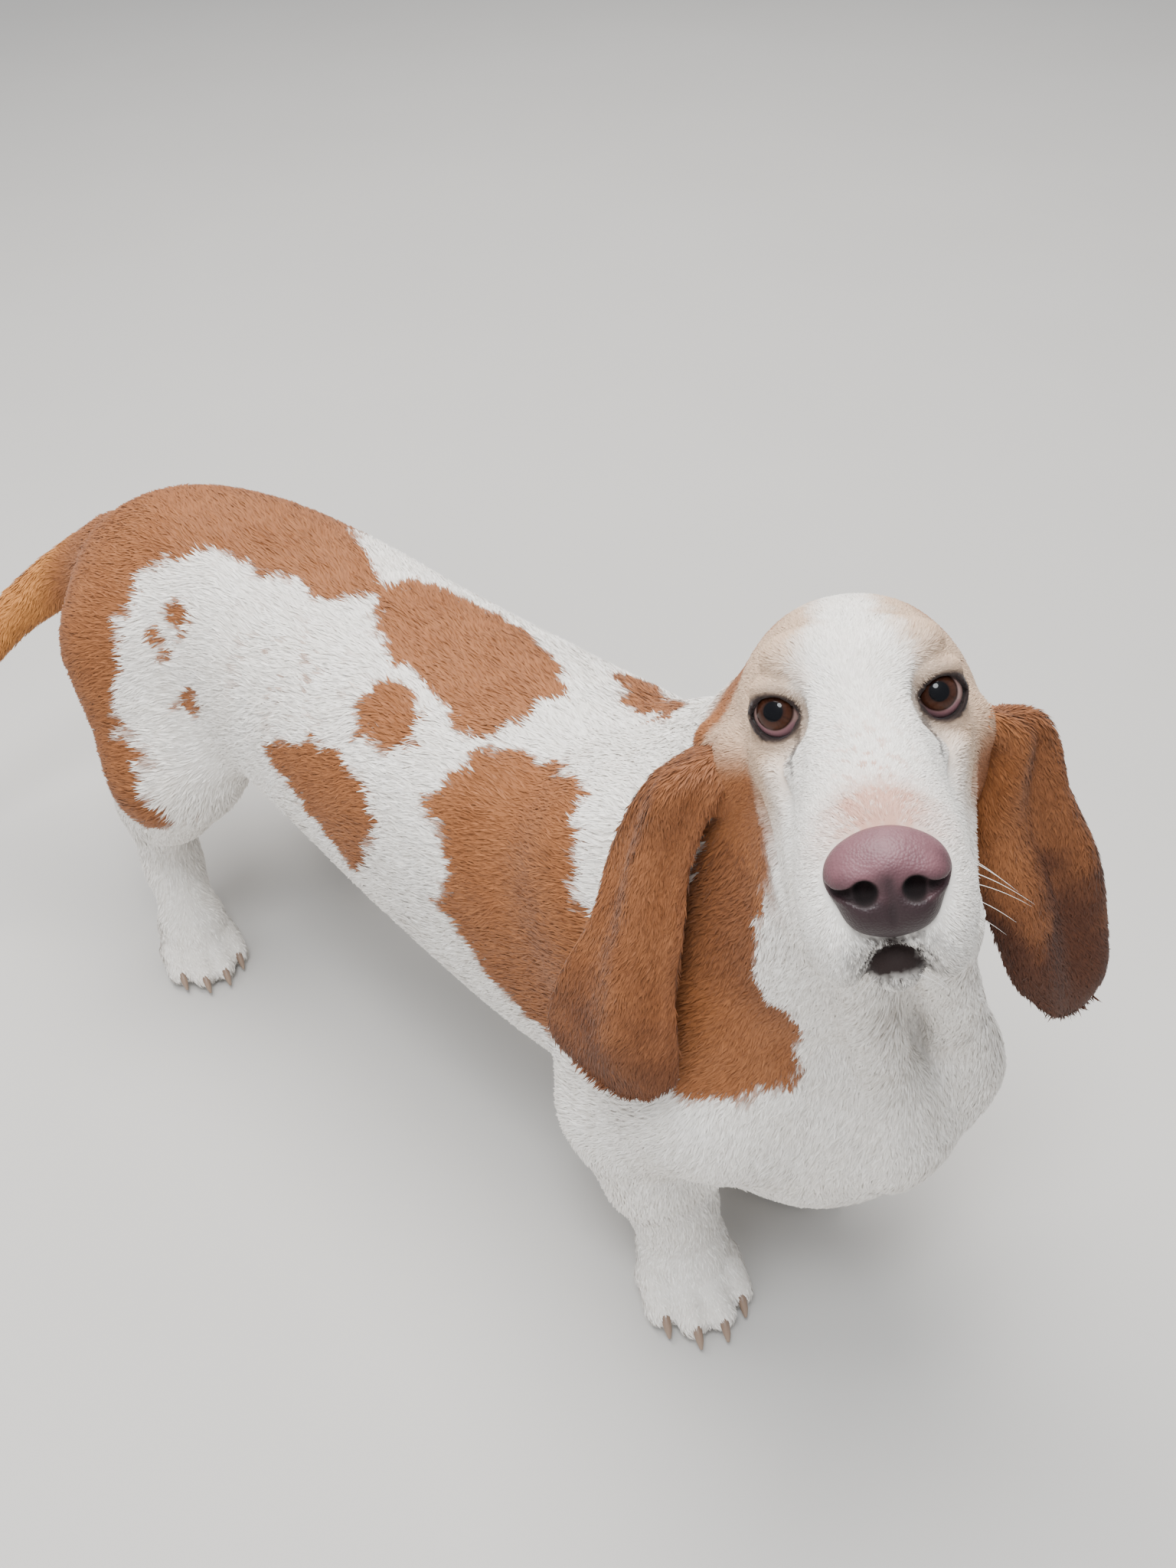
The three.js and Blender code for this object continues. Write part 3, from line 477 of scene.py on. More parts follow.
def ear_sheet(rows, fold_depth):
    """Points, faces and the share (across, down, side) of each point of one ear."""
    u, v = np.meshgrid(np.linspace(0, 1, EAR_ACROSS + 1), np.linspace(0, 1, EAR_DOWN + 1))
    u, v = u.ravel(), v.ravel()
    edge = np.abs(2 * u - 1)
    step = 0.02

    def at(u, v):
        # the foot of the ear is rounded at its corners
        v = v * (1 - 0.07 * np.abs(2 * u - 1) ** 3)
        front, middle, rear = (smooth_run([row[k] for row in rows], v) for k in range(3))
        u = col(u)
        return front * (1 - u) * (1 - 2 * u) + middle * 4 * u * (1 - u) + rear * u * (2 * u - 1)

    lengthwise = at(u, np.minimum(v + step, 1)) - at(u, np.maximum(v - step, 0))
    widthwise = at(np.minimum(u + step, 1), v) - at(np.maximum(u - step, 0), v)
    out = unit(np.cross(lengthwise, widthwise))
    # thinner towards its edges, with a lengthwise fold and small waves
    rim = 1 - 0.5 * edge**4 - 0.35 * v**6 - 0.35 * edge**16
    fold = fold_depth * v * (1 - v) * 4 * np.sin(3 * np.pi * u)
    fold += 0.9 * np.sin(9 * u + 5 * v) * np.sin(11 * v + 3) * v * (1 - u * 0.4)
    half = rim * (EAR_THICKNESS / 2 - EAR_HAIR)
    middle = at(u, v)
    points = np.vstack([middle + out * col(fold + side * half) for side in (1, -1)])
    wide, other = EAR_ACROSS + 1, len(u)
    a = (np.arange(EAR_DOWN)[:, None] * wide + np.arange(EAR_ACROSS)).ravel()
    left = np.arange(EAR_DOWN) * wide
    right = left + EAR_ACROSS
    top = np.arange(EAR_ACROSS)
    foot = EAR_DOWN * wide + top
    faces = np.vstack([
        np.array([a, a + wide, a + wide + 1, a + 1]).T,
        np.array([a, a + 1, a + wide + 1, a + wide]).T + other,
        np.array([left, left + other, left + other + wide, left + wide]).T,
        np.array([right, right + wide, right + other + wide, right + other]).T,
        np.array([top, top + 1, top + other + 1, top + other]).T,
        np.array([foot, foot + other, foot + other + 1, foot + 1]).T,
    ])
    shares = np.vstack([np.array([u, v, np.full(len(u), k)]).T for k in (0, 1)])
    return points, faces, shares


hide_points, hide_faces = [skin_points], [skin_faces]
ear_shares = [np.full((len(skin_points), 4), -1.0)]
for number, (ear_side, rows) in enumerate(EARS.items()):
    points, faces, shares = ear_sheet(rows, EAR_FOLDS[ear_side])
    hide_faces.append(faces + sum(map(len, hide_points)))
    hide_points.append(points)
    ear_shares.append(np.column_stack([shares, np.full(len(points), number)]))
hide_points, hide_faces = np.vstack(hide_points), np.vstack(hide_faces)
ear_shares = np.vstack(ear_shares)


# ---------------------------------------------------------------------------
# Markings
# White coat with red-brown patches over the rump, back, ribs and shoulder, a
# white blaze between tan cheeks, brown ears and an orange tail. A patch is an
# outline on the flank: millimetres along the back and round it from the spine.
# ---------------------------------------------------------------------------
# millimetres of flank to one radian, and the spine's line: places back, and left there
CHART_ROUND = 95
SPINE = ([-334, -240, -80, 20, 120, 200, 270, 330, 392], [12, 12, 5, -2, -12, -22, -40, -54, -74])
RED_PATCHES = {
    "rump": [(470, -110), (470, 130), (395, 190), (352, 178), (318, 196), (290, 172), (262, 184),
             (238, 150), (226, 112), (190, 98), (203, 46), (167, 30), (143, 21), (120, 9),
             (118, -6), (130, -16), (147, -22), (167, -23), (189, -26), (214, -30), (228, -29),
             (235, -36), (246, -39), (257, -47), (256, -61), (255, -81), (251, -103), (249, -127),
             (237, -151), (223, -166), (212, -181), (206, -196), (232, -205), (269, -194),
             (300, -182), (345, -178), (400, -160)],
    "back": [(120, 9), (120, 34), (94, 43), (55, 47), (16, 43), (-25, 25), (-51, 1), (-54, -19),
             (-50, -37), (-39, -49), (-23, -49), (-2, -42), (22, -36), (40, -33), (58, -32),
             (85, -22)],
    "round": [(59, -58), (49, -44), (27, -41), (6, -52), (1, -66), (17, -78), (38, -77)],
    "belly": [(118, -114), (87, -101), (59, -93), (33, -94), (12, -104), (0, -122), (9, -154),
              (24, -163), (52, -150), (83, -137), (107, -127)],
    "shoulder": [(-49, -50), (-73, -39), (-105, -35), (-138, -40), (-159, -55), (-167, -67),
                 (-178, -79), (-194, -93), (-186, -116), (-160, -178), (-139, -195),
                 (-118, -186), (-97, -166), (-72, -154), (-61, -137), (-68, -113), (-50, -98),
                 (-35, -87), (-42, -66)],
    "withers": [(-41, 51), (-55, 68), (-127, 21), (-145, -2), (-96, 13)],
    "left ribs": [(158, 96), (128, 74), (92, 70), (66, 86), (38, 78), (2, 88), (-22, 72),
                  (-44, 104), (-30, 138), (-38, 166), (-6, 188), (24, 176), (52, 194), (88, 172),
                  (104, 148), (140, 142), (150, 118)],
    "left shoulder": [(-74, 92), (-96, 70), (-130, 66), (-158, 52), (-186, 82), (-180, 112),
                      (-198, 138), (-176, 176), (-140, 168), (-118, 192), (-92, 170), (-98, 136)],
    "left loin": [(190, 178), (176, 150), (150, 158), (142, 186), (160, 204), (182, 200)],
}
# back, round and radius of small spots
SPOTS = [(222, -70, 6), (203, -124, 9), (220, -95, 4), (234, -87, 4), (214, -84, 3)]
# brown on the right of the neck, behind the ear: back and up
NECK_PATCH = [(-225, 315), (-230, 365), (-248, 405), (-280, 400), (-291, 346), (-307, 328),
              (-308, 296), (-301, 276), (-286, 263), (-273, 257), (-255, 250), (-238, 270)]
RIPPLES, FULL_TURN = 14, 6.28
swirl_rng = np.random.default_rng(11)
ripple_ways = unit(swirl_rng.normal(size=(RIPPLES, 3)))
ripple_starts = swirl_rng.uniform(0, FULL_TURN, RIPPLES)


def ripple(p, size):
    """A smooth wandering value between about -1 and 1, with bumps of that size."""
    total = np.zeros(len(p))
    for k, (way, start) in enumerate(zip(ripple_ways, ripple_starts)):
        total += np.sin(p @ way * (FULL_TURN / (size * (0.6 + 0.09 * k))) + start)
    return total / 3.7


def ease(x, low, high):
    """0 below low and 1 above high, smooth between."""
    t = np.clip((x - low) / (high - low), 0, 1)
    return t * t * (3 - 2 * t)


def inside_by(x, y, outline):
    """Distance inside a closed outline, below zero outside it."""
    near = np.full(len(x), 1e9)
    within = np.zeros(len(x), bool)
    for (ax, ay), (bx, by) in zip(outline, outline[1:] + outline[:1]):
        dx, dy = bx - ax, by - ay
        t = np.clip(((x - ax) * dx + (y - ay) * dy) / (dx * dx + dy * dy), 0, 1)
        near = np.minimum(near, np.hypot(x - ax - t * dx, y - ay - t * dy))
        crosses = (ay > y) != (by > y)
        if dy:
            within ^= crosses & (x < ax + (y - ay) / dy * dx)
    return np.where(within, near, -near)


def head_share(p):
    """1 on the head, 0 on the body, easing at the throat and nape."""
    q = to_head(p)
    throat = (q - (0, 30, -84)) @ (0.12, -0.18, 0.97)
    nape = (q - (0, 88, -20)) @ (0.205, -0.83, 0.515)
    return ease(np.minimum(throat, nape), -14, 10)


def lip_edge(q):
    """1 along the dark edges of the lips, where upper and lower meet at the front."""
    skull, jaw = head_fields(q)
    below = skull - jaw
    front = ease(-q[:, 1], 74, 100)
    edge = ease(below, -2.4 - 3.0 * front, -0.6)
    edge = edge * ease(-below, -1.5 - 11.5 * front, -0.6 - 8.2 * front)
    on_lips = ease(-np.minimum(np.abs(skull), np.abs(jaw)), -6, -3)
    on_lips = on_lips * ease(-np.maximum(skull, jaw), -18, -14)
    chin = ease(-q[:, 1], 90, 98) * ease(-q[:, 2], 82.5, 87)
    return edge * on_lips * ease(-q[:, 1], 56, 76) * (1 - 0.85 * chin)


def mouth_shade(q):
    """A softer darkening round the front of the mouth, up to the nose."""
    across, up = q[:, 0] / 17, (q[:, 2] + 76) / 13
    return 0.8 * np.exp(-(across**2) - up**2) * ease(-q[:, 1], 88, 100)


# brown hair round the ears' roots, and the dark line between the halves of the upper lip
EAR_BASES = [
    ((-44, -248, 440), (-70, -262, 392), 26, 26), ((34, -306, 456), (52, -316, 400), 22, 22),
]
LIP_DIVIDE = ((0, -116, -60), (0, -109, -76), 0.8, 2.0)


def patches(p, ragged):
    """How brown the trunk and neck are, and a painted shadow that deepens the brown on the neck's
    right.
    """
    along = p[:, 1]
    spine = np.interp(along, *SPINE)
    around = np.arctan2(p[:, 0] - spine, p[:, 2] - 240) * CHART_ROUND
    inside = np.full(len(p), -1e9)
    for outline in RED_PATCHES.values():
        inside = np.maximum(inside, inside_by(along, around, outline))
    for back, turn, size in SPOTS:
        inside = np.maximum(inside, size - np.hypot(along - back, around - turn))
    right = p[:, 0] < spine - 22
    on_neck = inside_by(along, p[:, 2], NECK_PATCH)
    inside = np.where(right, np.maximum(inside, on_neck), inside)
    for rod in EAR_BASES:
        inside = np.maximum(inside, -cone(p, *rod))
    # roan flecks between the hip patch and the ribs
    fleck = ripple(p, 11) + ripple(p, 5) * 0.6 - 1.05
    roan = np.exp(-(((along - 120) / 55) ** 2) - ((around + 70) / 30) ** 2)
    body = np.maximum(ease(inside + ragged, -2.5, 2.5), 0.75 * roan * ease(fleck, 0, 0.3))
    # the second value is painted shadow that deepens the brown on the neck's right, under the head
    return body, 0.45 * ease(on_neck, -6, 6) * right * ease(p[:, 2], 300, 340)


def ear_depths(p, ears):
    """How deep the brown of the ears is: deepest at the foot and along the front edge, with a
    painted highlight and a painted shadow on the left ear's fold.
    """
    u, v = ears[:, 0], ears[:, 1]
    right = 0.34 + 0.44 * ease(v + 0.08 * ripple(p, 30), 0.55, 1.0)
    right = np.where(u < 0.08, np.maximum(right, 0.5), right)
    # the left ear's front lobe is painted paler as a highlight, and the fold behind it is painted
    # dark as shadow
    painted_fold_shadow = np.exp(-(((u - 0.36 - 0.1 * v) / 0.055) ** 2))
    painted_fold_shadow = painted_fold_shadow * ease(v, 0.25, 0.5) * ease(-v, -0.98, -0.8)
    painted_lobe_highlight = ease(-u, -0.42, -0.2) * ease(-v, -0.62, -0.4)
    foot = 0.4 + 0.6 * ease(v + 0.1 * ripple(p, 30), 0.4, 0.75)
    return np.where(ears[:, 3] > 0.5, np.maximum(foot * (1 - painted_lobe_highlight), 0.95 * painted_fold_shadow), right)


def nose_pink(p, x, y, z):
    """Pink skin that shows through over the nose, with ticks of colour along the bridge."""
    low_by = np.maximum(-z - 30, 0)
    top = np.exp(-(((y + 98) / 17) ** 2) - (x / 19) ** 2 - (low_by / 12) ** 2)
    top = np.clip(top * (1.05 + 0.12 * ripple(p, 9) + 0.3 * ripple(p, 3)), 0, 0.85)
    ticks = ease(ripple(p, 6) + ripple(p, 3.5) * 0.5, 0.55, 0.95)
    ticks = ticks * np.exp(-(((y + 72) / 30) ** 2) - (x / 15) ** 2) * (z > -30)
    return np.maximum(top, 0.75 * ticks)


def eye_shades(p, q):
    """The dark rims of the lids, the shade round them, and the marks of tears."""
    dark = np.zeros(len(p))
    for side in (-1, 1):
        e = at_eye(q, side)
        oval = (np.hypot(e[:, 0] / (LIDS_WIDE + 1), e[:, 1] / lid_height(e)) - 1) * LIDS_WIDE
        wide_rim = 2.9 + 2.2 * ease(e[:, 1], -2, 8)
        rim = ease(-oval, -wide_rim, -1.6) * (e[:, 2] > 0)
        rim = rim * ease(-np.linalg.norm(e, axis=1), -19, -15)
        shade = 0.4 * ease(-oval, -8, -3) * (e[:, 2] > 0)
        # a tear streak runs down from the inner corner, and darker hair lies beside it
        seen = e * (1, 1, 0)
        streak = cone(seen, (-9.5, -3, 0), (-13.5, -18, 0), 2.2, 0.7) + 0.9 * ripple(p, 5)
        beside = cone(seen, (-14, 5, 0), (-15, -4, 0), 1.5, 1.0) + 2.0 * ripple(p, 4)
        tears = np.maximum(0.8 * ease(-streak, -2.2, 0.8), 0.34 * ease(-beside, -6, 1))
        dark = np.max([dark, rim, shade, tears * (e[:, 2] > -4)], axis=0)
    return dark


def markings(p, ears):
    """How red, tan, deep, orange, pink and dark the coat is; ears holds the ears' shares."""
    ragged = ripple(p, 22) * 3.2 + ripple(p, 7) * 2.0
    body, painted_neck_shadow = patches(p, ragged)
    on_ear, head = ears[:, 0] >= 0, head_share(p)
    q = to_head(p)
    x, y, z = np.abs(q[:, 0]), q[:, 1], q[:, 2]
    # half the width of the white blaze, then the tan and the brown beside it
    blaze = 11 + 9 * ease(-y, -40, 20) + 30 * ease(-y, 12, 40) + 2.5 * ripple(p, 14)
    tan = ease(x - blaze, -5, 9) * ease(y, -34, 4) * ease(z, -62, -34)
    cheek = ease(y + ragged * 0.6 - 0.25 * (z + 40), 2, 22) * ease(x, 18, 26) * ease(-z, 8, 34)
    behind = ease(y + ragged, 44, 66) * ease(x, 20, 32)
    # the legs are white, and the tail is orange
    low = ease(p[:, 2], 120, 165)
    tail = ease(p[:, 1], 385, 412) * ease(-p[:, 0], 60, 95)
    red = np.where(on_ear, 1, head * np.maximum(cheek, behind) + (1 - head) * body * low)
    # deep is the ears' own dark red, with painted shadow on the neck's right and in the left ear's
    # fold
    deep = np.where(on_ear, ear_depths(p, ears), np.maximum(0.1 * body, painted_neck_shadow))
    # the dark of the eyes, lips and mouth is uneven from hair to hair
    hairy = 0.55 * ripple(p, 4) + 0.25 * ripple(p, 2)
    dark = np.maximum(eye_shades(p, q), lip_edge(q + col(hairy)))
    dark = np.maximum(dark, mouth_shade(q) * np.clip(1 + 0.9 * ripple(p, 2.5), 0, 2))
    dark = np.maximum(dark, 0.95 * ease(-cone(q, *LIP_DIVIDE), -1.6, 0.4))
    face = {"tan": tan, "pink": nose_pink(p, x, y, z), "dark": dark}
    face = {mark: np.where(on_ear, 0, head * value) for mark, value in face.items()}
    return {"red": np.maximum(red, tail), "deep": deep, "orange": tail, **face}


MARKS = ("red", "tan", "deep", "orange", "pink", "dark")


def solid_mesh(name, points, faces, marks=()):
    """A smooth mesh object from points in millimetres."""
    mesh = bpy.data.meshes.new(name)
    mesh.vertices.add(len(points))
    mesh.vertices.foreach_set("co", (points / 1000 + SHIFT).astype(np.float32).ravel())
    mesh.loops.add(faces.size)
    mesh.loops.foreach_set("vertex_index", faces.astype(np.int32).ravel())
    mesh.polygons.add(len(faces))
    starts = np.arange(0, faces.size, faces.shape[1], dtype=np.int32)
    mesh.polygons.foreach_set("loop_start", starts)
    for mark in marks:
        layer = mesh.attributes.new(mark, "FLOAT", "POINT")
        layer.data.foreach_set("value", marks[mark].astype(np.float32))
    mesh.update(calc_edges=True)
    mesh.polygons.foreach_set("use_smooth", np.ones(len(faces), bool))
    made = bpy.data.objects.new(name, mesh)
    bpy.context.scene.collection.objects.link(made)
    return made


def blank_material(name):
    material = bpy.data.materials.new(name)
    material.use_nodes = True
    return material, material.node_tree, material.node_tree.nodes["Principled BSDF"]


def feed(tree, socket, value):
    """Gives a socket its value: another socket, a plain colour or a number."""
    if isinstance(value, bpy.types.NodeSocket):
        tree.links.new(value, socket)
    else:
        socket.default_value = (*value, 1) if isinstance(value, tuple) else value


def dress(tree, shader, looks):
    for name, value in looks.items():
        feed(tree, shader.inputs[name], value)


def blended(tree, share, first, second, how="MIX"):
    """A colour mixed from two."""
    node = tree.nodes.new("ShaderNodeMix")
    node.data_type, node.blend_type = "RGBA", how
    for socket, value in ((0, share), (6, first), (7, second)):
        feed(tree, node.inputs[socket], value)
    return node.outputs[2]


def sums(tree, kind, *values):
    node = tree.nodes.new("ShaderNodeMath")
    node.operation = kind
    for socket, value in zip(node.inputs, values):
        feed(tree, socket, value)
    return node.outputs[0]


def mark_of(tree, mark):
    node = tree.nodes.new("ShaderNodeAttribute")
    node.attribute_name = mark
    return node.outputs["Fac"]


def texture(tree, kind, scale, output):
    place = tree.nodes.new("ShaderNodeTexCoord")
    node = tree.nodes.new(kind)
    node.inputs["Scale"].default_value = scale
    tree.links.new(place.outputs["Object"], node.inputs["Vector"])
    return node.outputs[output]


def grain(tree, scale):
    noise = texture(tree, "ShaderNodeTexNoise", scale, "Fac")
    noise.node.inputs["Detail"].default_value = 3.0
    return noise


def bumps(tree, height, strength, depth):
    """A surface raised by a texture, to a depth in metres."""
    bump = tree.nodes.new("ShaderNodeBump")
    dress(tree, bump, {"Strength": strength, "Distance": depth, "Height": height})
    return bump.outputs[0]


# deep is the ears' own dark red, and is also used as painted shadow on the neck and in the left
# ear's fold
HAIR_COLOURS = {
    "white": (0.87, 0.845, 0.81), "cream": (0.73, 0.65, 0.55), "tan": (0.60, 0.42, 0.29),
    "red": (0.245, 0.082, 0.024), "light red": (0.335, 0.130, 0.048),
    "deep": (0.075, 0.023, 0.009), "orange": (0.50, 0.20, 0.05), "pink": (0.52, 0.24, 0.155),
    "dark": (0.020, 0.011, 0.010),
}
coat_colour = bpy.data.node_groups.new("coat colour", "ShaderNodeTree")
for mark in (*MARKS, "tone"):
    coat_colour.interface.new_socket(mark, in_out="INPUT", socket_type="NodeSocketFloat")
coat_colour.interface.new_socket("Colour", in_out="OUTPUT", socket_type="NodeSocketColor")
given = coat_colour.nodes.new("NodeGroupInput")
result = coat_colour.nodes.new("NodeGroupOutput")
mottle = grain(coat_colour, 38)
hairs = dict(HAIR_COLOURS)
hairs["red"] = blended(coat_colour, mottle, hairs["red"], hairs["light red"])
for mark in ("deep", "orange"):
    hairs["red"] = blended(coat_colour, given.outputs[mark], hairs["red"], hairs[mark])
colour = blended(coat_colour, mottle, hairs["cream"], hairs["white"])
colour = blended(coat_colour, 0.55, colour, hairs["white"])
for mark in ("tan", "red", "pink", "dark"):
    colour = blended(coat_colour, given.outputs[mark], colour, hairs[mark])
strands = blended(coat_colour, given.outputs["tone"], (0.72, 0.70, 0.68), (1.12, 1.12, 1.12))
colour = blended(coat_colour, 1.0, colour, strands, "MULTIPLY")
coat_colour.links.new(colour, result.inputs[0])


def coat_material(name, roughness, bump_scale, bump_depth):
    material, tree, shader = blank_material(name)
    group = tree.nodes.new("ShaderNodeGroup")
    group.node_tree = coat_colour
    for mark in (*MARKS, "tone"):
        tree.links.new(mark_of(tree, mark), group.inputs[mark])
    dress(tree, shader, {
        "Base Color": group.outputs[0], "Roughness": roughness, "Specular IOR Level": 0.25,
        "Sheen Weight": 0.08, "Normal": bumps(tree, grain(tree, bump_scale), 0.5, bump_depth),
    })
    return material


marks = markings(hide_points, ear_shares)
marks["tone"] = np.full(len(hide_points), 0.35)
skin = solid_mesh("skin", hide_points, hide_faces, marks)
skin.data.materials.append(coat_material("short coat over skin", 0.75, 700, 0.0006))
FLESH_NODES = [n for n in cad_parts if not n.startswith(("eye", "claw", "nose"))]
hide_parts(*FLESH_NODES)
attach(skin, "root")


# ---------------------------------------------------------------------------
# Nose
# Bare leather at the end of the muzzle: broad and rounded, mauve above and
# nearly black below, with comma-shaped nostrils and a groove down the middle.
# ---------------------------------------------------------------------------
NOSE_GROOVE = ((0, -126.5, -41), (0, -124.5, -68), 1.0, 2.0)


def nose_field(q):
    """Distance to the leather: two round masses, the wings, and nostrils cut into them."""
    d = ball(q, (0, -111, -38), (21, 14.5, 14))
    d = melt(d, ball(q, (0, -111, -54), (15, 13, 12.5)), 9)
    for side in (-1, 1):
        d = melt(d, ball(q, (side * 13.5, -112, -42), (10, 12, 10)), 6)
        d = melt(d, ball(q, (side * 9.5, -113, -53), (8.5, 11, 9)), 6)
    for side in (-1, 1):
        d = carved(d, ball(q, (side * 9.6, -126, -45), (4.9, 10, 4.8)), 2.5)
        slit = cone(q, (side * 12, -125, -46), (side * 22.5, -115, -44), 3.0, 1.7)
        d = carved(d, slit, 2)
    return carved(d, cone(q, *NOSE_GROOVE), 2.2)


NOSE_CELL = 0.85
nose_low, nose_high = np.array([-34.0, -134.0, -74.0]), np.array([34.0, -92.0, -14.0])
nose_steps = np.ceil((nose_high - nose_low) / NOSE_CELL).astype(int)
cells = np.indices(nose_steps).reshape(3, -1).T
values = nose_field(nose_low + cells * NOSE_CELL)
# the rear of the leather is closed inside the muzzle
values = np.where(cells[:, 1] > nose_steps[1] - 3, np.maximum(values, 1), values)
points, faces = net(values.reshape(nose_steps))
points = settle(nose_field, nose_low + points * NOSE_CELL, NOSE_CELL, 2)
# painted shade: the insides of the nostrils and the middle groove are darkened
deep = np.zeros(len(points))
for side in (-1, 1):
    pit = np.minimum(ball(points, (side * 9.6, -124, -45), (5.7, 9, 5.6)),
                     cone(points, (side * 12, -124, -46), (side * 21, -115, -44), 3.3, 1.7))
    deep = np.maximum(deep, ease(-pit, -0.6, 1.2))
deep = np.maximum(deep, 0.8 * ease(-cone(points, *NOSE_GROOVE), -1.2, 0.3))
nose_marks = {"under": ease(-points[:, 2] + 3 * ripple(points, 14), 34, 50), "deep": deep}
nose = solid_mesh("nose_leather", points @ HEAD_AXES + HEAD_AT, faces, nose_marks)
material, tree, shader = blank_material("nose leather")
blush = grain(tree, 90)
upper = blended(tree, blush, (0.215, 0.095, 0.110), (0.095, 0.038, 0.046))
tint = blended(tree, mark_of(tree, "under"), upper, (0.024, 0.011, 0.013))
# painted shade in the nostrils and the groove
tint = blended(tree, mark_of(tree, "deep"), tint, (0.008, 0.004, 0.004))
pebbles = bumps(tree, texture(tree, "ShaderNodeTexVoronoi", 900, "Distance"), 0.6, 0.00035)
pebbles.node.invert = True
dress(tree, shader, {
    "Base Color": tint, "Normal": pebbles, "Specular IOR Level": 0.4,
    "Roughness": sums(tree, "MULTIPLY_ADD", mark_of(tree, "deep"), 0.5, 0.46),
})
nose.data.materials.append(material)
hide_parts("nose")
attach(nose, "root")


# ---------------------------------------------------------------------------
# Eyes
# Wet brown eyeballs. The iris nearly fills the opening, and below it shows the
# mauve haw. The clear front bulges a little over the iris.
# ---------------------------------------------------------------------------
EYE_RINGS, EYE_SIDES = 56, 48
# edges of the iris and the pupil, as angles from the gaze
IRIS, PUPIL = 0.75, 0.36
# the way both eyes look, in head axes: left, back and up
GAZES = {"right": (-0.26, -0.93, 0.21), "left": (0.07, -0.95, 0.21)}
EYEBALL, CORNEA_RISE = EYE_RADIUS - 0.15, 0.55

material, tree, shader = blank_material("wet eye")
# iris colour from its fibres, with painted shadow of the upper lid over its top
iris_fibres_and_lid_shadow = blended(tree, mark_of(tree, "fibre_and_lid_shadow"), (0.012, 0.005, 0.004), (0.050, 0.017, 0.009))
tint = blended(tree, mark_of(tree, "iris"), (0.30, 0.19, 0.17), iris_fibres_and_lid_shadow)
tint = blended(tree, mark_of(tree, "limbus"), tint, (0.015, 0.007, 0.006))
tint = blended(tree, mark_of(tree, "haw"), tint, (0.27, 0.14, 0.155))
tint = blended(tree, mark_of(tree, "pupil"), tint, (0.002, 0.002, 0.003))
dress(tree, shader, {
    "Base Color": tint, "Normal": bumps(tree, grain(tree, 260), 0.05, 0.0002), "Roughness": 0.4,
    "Specular IOR Level": 0.03, "Coat Weight": 0.75, "Coat Roughness": 0.02, "Coat IOR": 1.33,
})


def tube_faces(rings, sides):
    """Triangles round a run of rings."""
    k = np.arange(sides)
    k1 = (k + 1) % sides
    ring = np.arange(rings - 1)[:, None] * sides
    quads = np.stack([ring + k, ring + k1, ring + sides + k1, ring + sides + k], -1).reshape(-1, 4)
    return np.vstack([quads[:, [0, 1, 2]], quads[:, [0, 2, 3]]])


def closed_faces(rings, sides):
    """The same, drawn to two points that follow the rings: before the first, past the last."""
    k = np.arange(sides)
    k1 = (k + 1) % sides
    last, tip = (rings - 1) * sides, rings * sides
    return np.vstack([
        tube_faces(rings, sides), np.stack([np.full(sides, tip), k1, k], 1),
        np.stack([np.full(sides, tip + 1), last + k, last + k1], 1)])


def round_turn(sides):
    return np.arange(sides) / sides * 2 * np.pi


for side_name, side in (("right", -1), ("left", 1)):
    gaze = np.array(GAZES[side_name]) / np.linalg.norm(GAZES[side_name])
    across = np.cross(gaze, (0, 0, 1))
    across /= np.linalg.norm(across)
    rise = np.cross(across, gaze)
    polar = np.linspace(0, np.pi, EYE_RINGS + 1)[1:-1]
    polar, turn = (a.ravel() for a in np.meshgrid(polar, round_turn(EYE_SIDES), indexing="ij"))
    polar, turn = np.append(polar, (0, np.pi)), np.append(turn, (0, 0))
    bulge = EYEBALL + CORNEA_RISE * (1 - ease(polar, 0.3, 0.95))
    local = (col(np.cos(polar)) * gaze
             + col(np.sin(polar)) * (col(np.cos(turn)) * across + col(np.sin(turn)) * rise))
    centre = np.array((side * EYE_SPREAD, EYE_BACK, 0))
    points = (centre + local * col(bulge)) @ HEAD_AXES + HEAD_AT
    faces = closed_faces(EYE_RINGS - 1, EYE_SIDES)[:, ::-1]
    fibre_and_lid_shadow = 0.5 + 0.5 * np.sin(turn * 31 + 2 * np.sin(turn * 7)) * np.sin(turn * 13 + 1)
    # the upper iris is painted darker and the lower lighter, as painted shadow of the upper lid
    fibre_and_lid_shadow = 0.25 + 0.75 * fibre_and_lid_shadow * ease(polar, PUPIL, 0.5) + 0.3 * ease(-local @ rise, 0, 0.6)
    eye_marks = {
        "iris": ease(-polar, -IRIS - 0.04, -IRIS + 0.02), "fibre_and_lid_shadow": np.clip(fibre_and_lid_shadow, 0, 1),
        "limbus": np.exp(-(((polar - IRIS) / 0.06) ** 2)) * 0.9,
        "pupil": ease(-polar, -PUPIL - 0.025, -PUPIL + 0.015),
        "haw": ease(-local @ rise, 0.30, 0.52) * ease(polar, IRIS - 0.02, IRIS + 0.1),
    }
    eye = solid_mesh(f"eyeball_{side_name}", points, faces, eye_marks)
    eye.data.materials.append(material)
    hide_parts(f"eye_{side_name}")
    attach(eye, "root")


# ---------------------------------------------------------------------------
# Claws
# Four blunt horny nails to a paw, worn at the tip. Each grows out of the end of
# its toe and curves down towards the floor.
# ---------------------------------------------------------------------------
CLAW_SIDES, CLAW_RINGS = 12, 14
# back from the toe's end and up from the floor, and the radius there
CLAW_PATH = [(3.5, 16), (-9, 15), (-14, 11), (-17, 6)]
CLAW_RADII = np.array([4.0, 3.9, 3.1, 1.3])
CLAW_FLATNESS, CLAW_TIP = 0.82, 0.6

